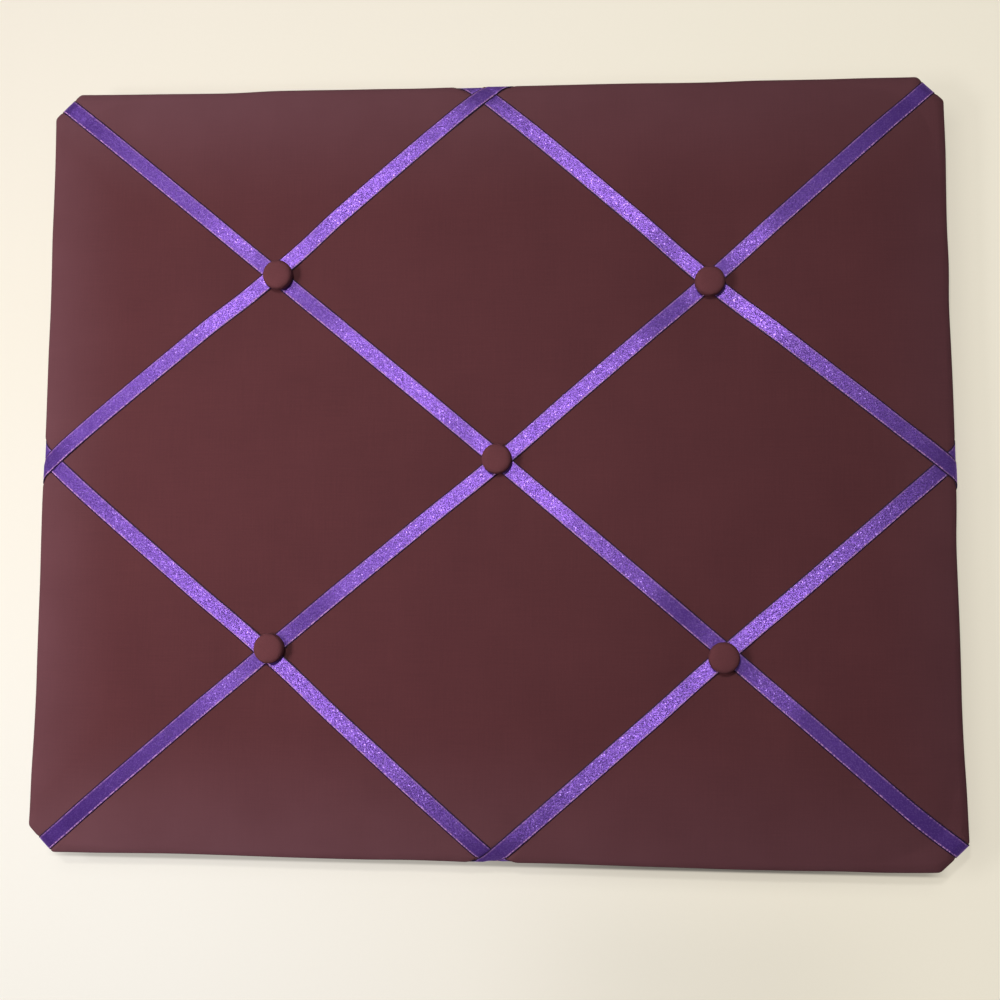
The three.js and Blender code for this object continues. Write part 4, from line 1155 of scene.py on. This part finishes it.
node_finish = {"core_board": raw_fibreboard, "backing_board": smooth_hardboard, "button_cap": stamped_aluminium,
               "button_plate": white_moulding, "staple": galvanised_wire}
for name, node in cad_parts.items():
    for start, finish in node_finish.items():
        if name.startswith(start):
            for place in node.material_slots:
                place.material = finish

# Width and length of the cloth sheet cut for the cover

cut_width, cut_length = (2 * (rim + fold_end + hem_width) for rim in (rim_x, rim_z))
cut_width * mm
cut_length * mm

# Stage: a painted wall behind the board, open from behind, and studio lamps

wall_half, wall_depth, foot_line, right_line = 3000, 0.6, -0.2085, 0.243


def painted_wall():
    """Paint that looks pale where it is seen and is open from behind, with painted shade along the board's lower and
    right edges and a broad painted shadow under its right half
    """
    f = Finish("painted_wall")
    place = f.object_place()
    x, _, z = f.parts(place)

    def near(value, line, inner, outer, strength=1.0):
        return f.stretch(f.maths("ABSOLUTE", value - line), inner, outer, strength, 0.0)

    nap = f.noise(place, 420.0, 3.0, 0.6)
    patch = f.noise(place, 5.0, 2.0)
    colour = f.blend(patch * 0.5 + nap * 0.3, rgb(158, 155, 148), rgb(164, 160, 152))
    paint = f.shader(base_color=colour, roughness=0.8, specular_ior_level=0.1, normal=f.bump(nap, 0.0003, 0.3))
    pale = f.maths("MAXIMUM", f.maths("MAXIMUM", f.ray("Camera"), f.ray("Glossy")), f.ray("Transmission"))
    # Painted light in the glow: a little lighter to the right, and whiter at the lower left
    level = f.blend(f.stretch(x, -0.3, 0.32), rgb(202, 194, 180), rgb(206, 199, 181))
    low_left = f.stretch(z, -0.25, 0.1, 1.0, 0.0) * f.stretch(x, -0.2, 0.2, 1.0, 0.0)
    level = f.blend(low_left, level, rgb(207, 203, 196))
    # Painted shadows: a sharp strip and a softer band under the foot, deeper under the right half, a broad patch
    # below that, and a band beside the right edge
    along, deeper = near(x, 0.0, 0.225, 0.24), near(x, 0.115, 0.02, 0.14)
    under = along * near(z, foot_line, 0.002, 0.0036) * (0.46 + 0.26 * deeper)
    under = under + along * near(z, foot_line, 0.003, 0.016, 0.1) * (0.6 + deeper)
    under = under + deeper * f.stretch(z, -0.26, -0.2, 0.1, 0.0)
    beside = near(x, right_line, 0.0, 0.018, 0.15) * near(z, 0.0, 0.185, 0.205)
    level = f.blend(under + beside, level, (0.0, 0.0, 0.0, 1.0))
    glow = f.node("ShaderNodeEmission", {"Color": level, "Strength": pale})
    both = f.node("ShaderNodeAddShader", {0: paint, 1: glow})
    open_air = f.node("ShaderNodeBsdfTransparent")
    behind = f.node("ShaderNodeNewGeometry", None, "Backfacing")
    return f.ends_in(f.mixed(f.maths("MAXIMUM", behind, f.ray("Shadow")), both, open_air))


wall_corners = [(x * wall_half, wall_depth, z * wall_half) for x, z in ((-1, -1), (1, -1), (1, 1), (-1, 1))]
wall = piece_from("wall", wall_corners, [[0, 1, 2, 3]], painted_wall())


def lamp(name, place, size, power, tint, shape="RECTANGLE", mirrored=True, lights=True):
    """A flat lamp that faces the middle of the board"""
    light = bpy.data.lights.new(name, "AREA")
    light.shape, light.size, light.size_y = shape, size[0], size[1]
    light.energy, light.color = power, tint
    holder = linked(name, light)
    holder.location = Vector(place)
    holder.rotation_mode = "QUATERNION"
    holder.rotation_quaternion = (-Vector(place)).to_track_quat("-Z", "Y")
    holder.visible_glossy, holder.visible_diffuse = mirrored, lights


daylight, warm, bulb = (1.0, 0.985, 0.96), (1.0, 0.98, 0.95), (0.06, 0.06)
lamp("window", (-0.47, -0.56, -0.06), (0.16, 0.3), 2.9, daylight, mirrored=False)
lamp("window_sheen", (-0.5, -0.55, 0.18), (0.4, 0.35), 0.8, daylight, lights=False)
lamp("ceiling", (-0.083, -0.9, 0.244), bulb, 2.9, warm, "ELLIPSE", mirrored=False)
lamp("glint", (-0.068, -0.9, 0.18), bulb, 5.9, warm, "ELLIPSE", lights=False)
lamp("behind", (0.0, 1.1, 0.1), (0.5, 0.4), 9.0, (1.0, 0.99, 0.97))

# Air: pale where it is seen or mirrored behind the board, and dim elsewhere
air = bpy.data.worlds.new("studio_air")
air.use_nodes = True
sky = Graph(air.node_tree)
mirrored = sky.maths("MAXIMUM", sky.ray("Glossy"), sky.ray("Transmission"))
_, backwards, _ = sky.parts(sky.node("ShaderNodeTexCoord", None, "Object"))
pale = sky.maths("MAXIMUM", sky.ray("Camera"), mirrored * sky.stretch(backwards, 0.0, 0.3))
glow = sky.node("ShaderNodeBackground", {"Color": (0.96, 0.97, 1.0, 1.0), "Strength": 0.14 + 0.66 * pale})
sky.node("ShaderNodeOutputWorld", {"Surface": glow})
scene.world = air
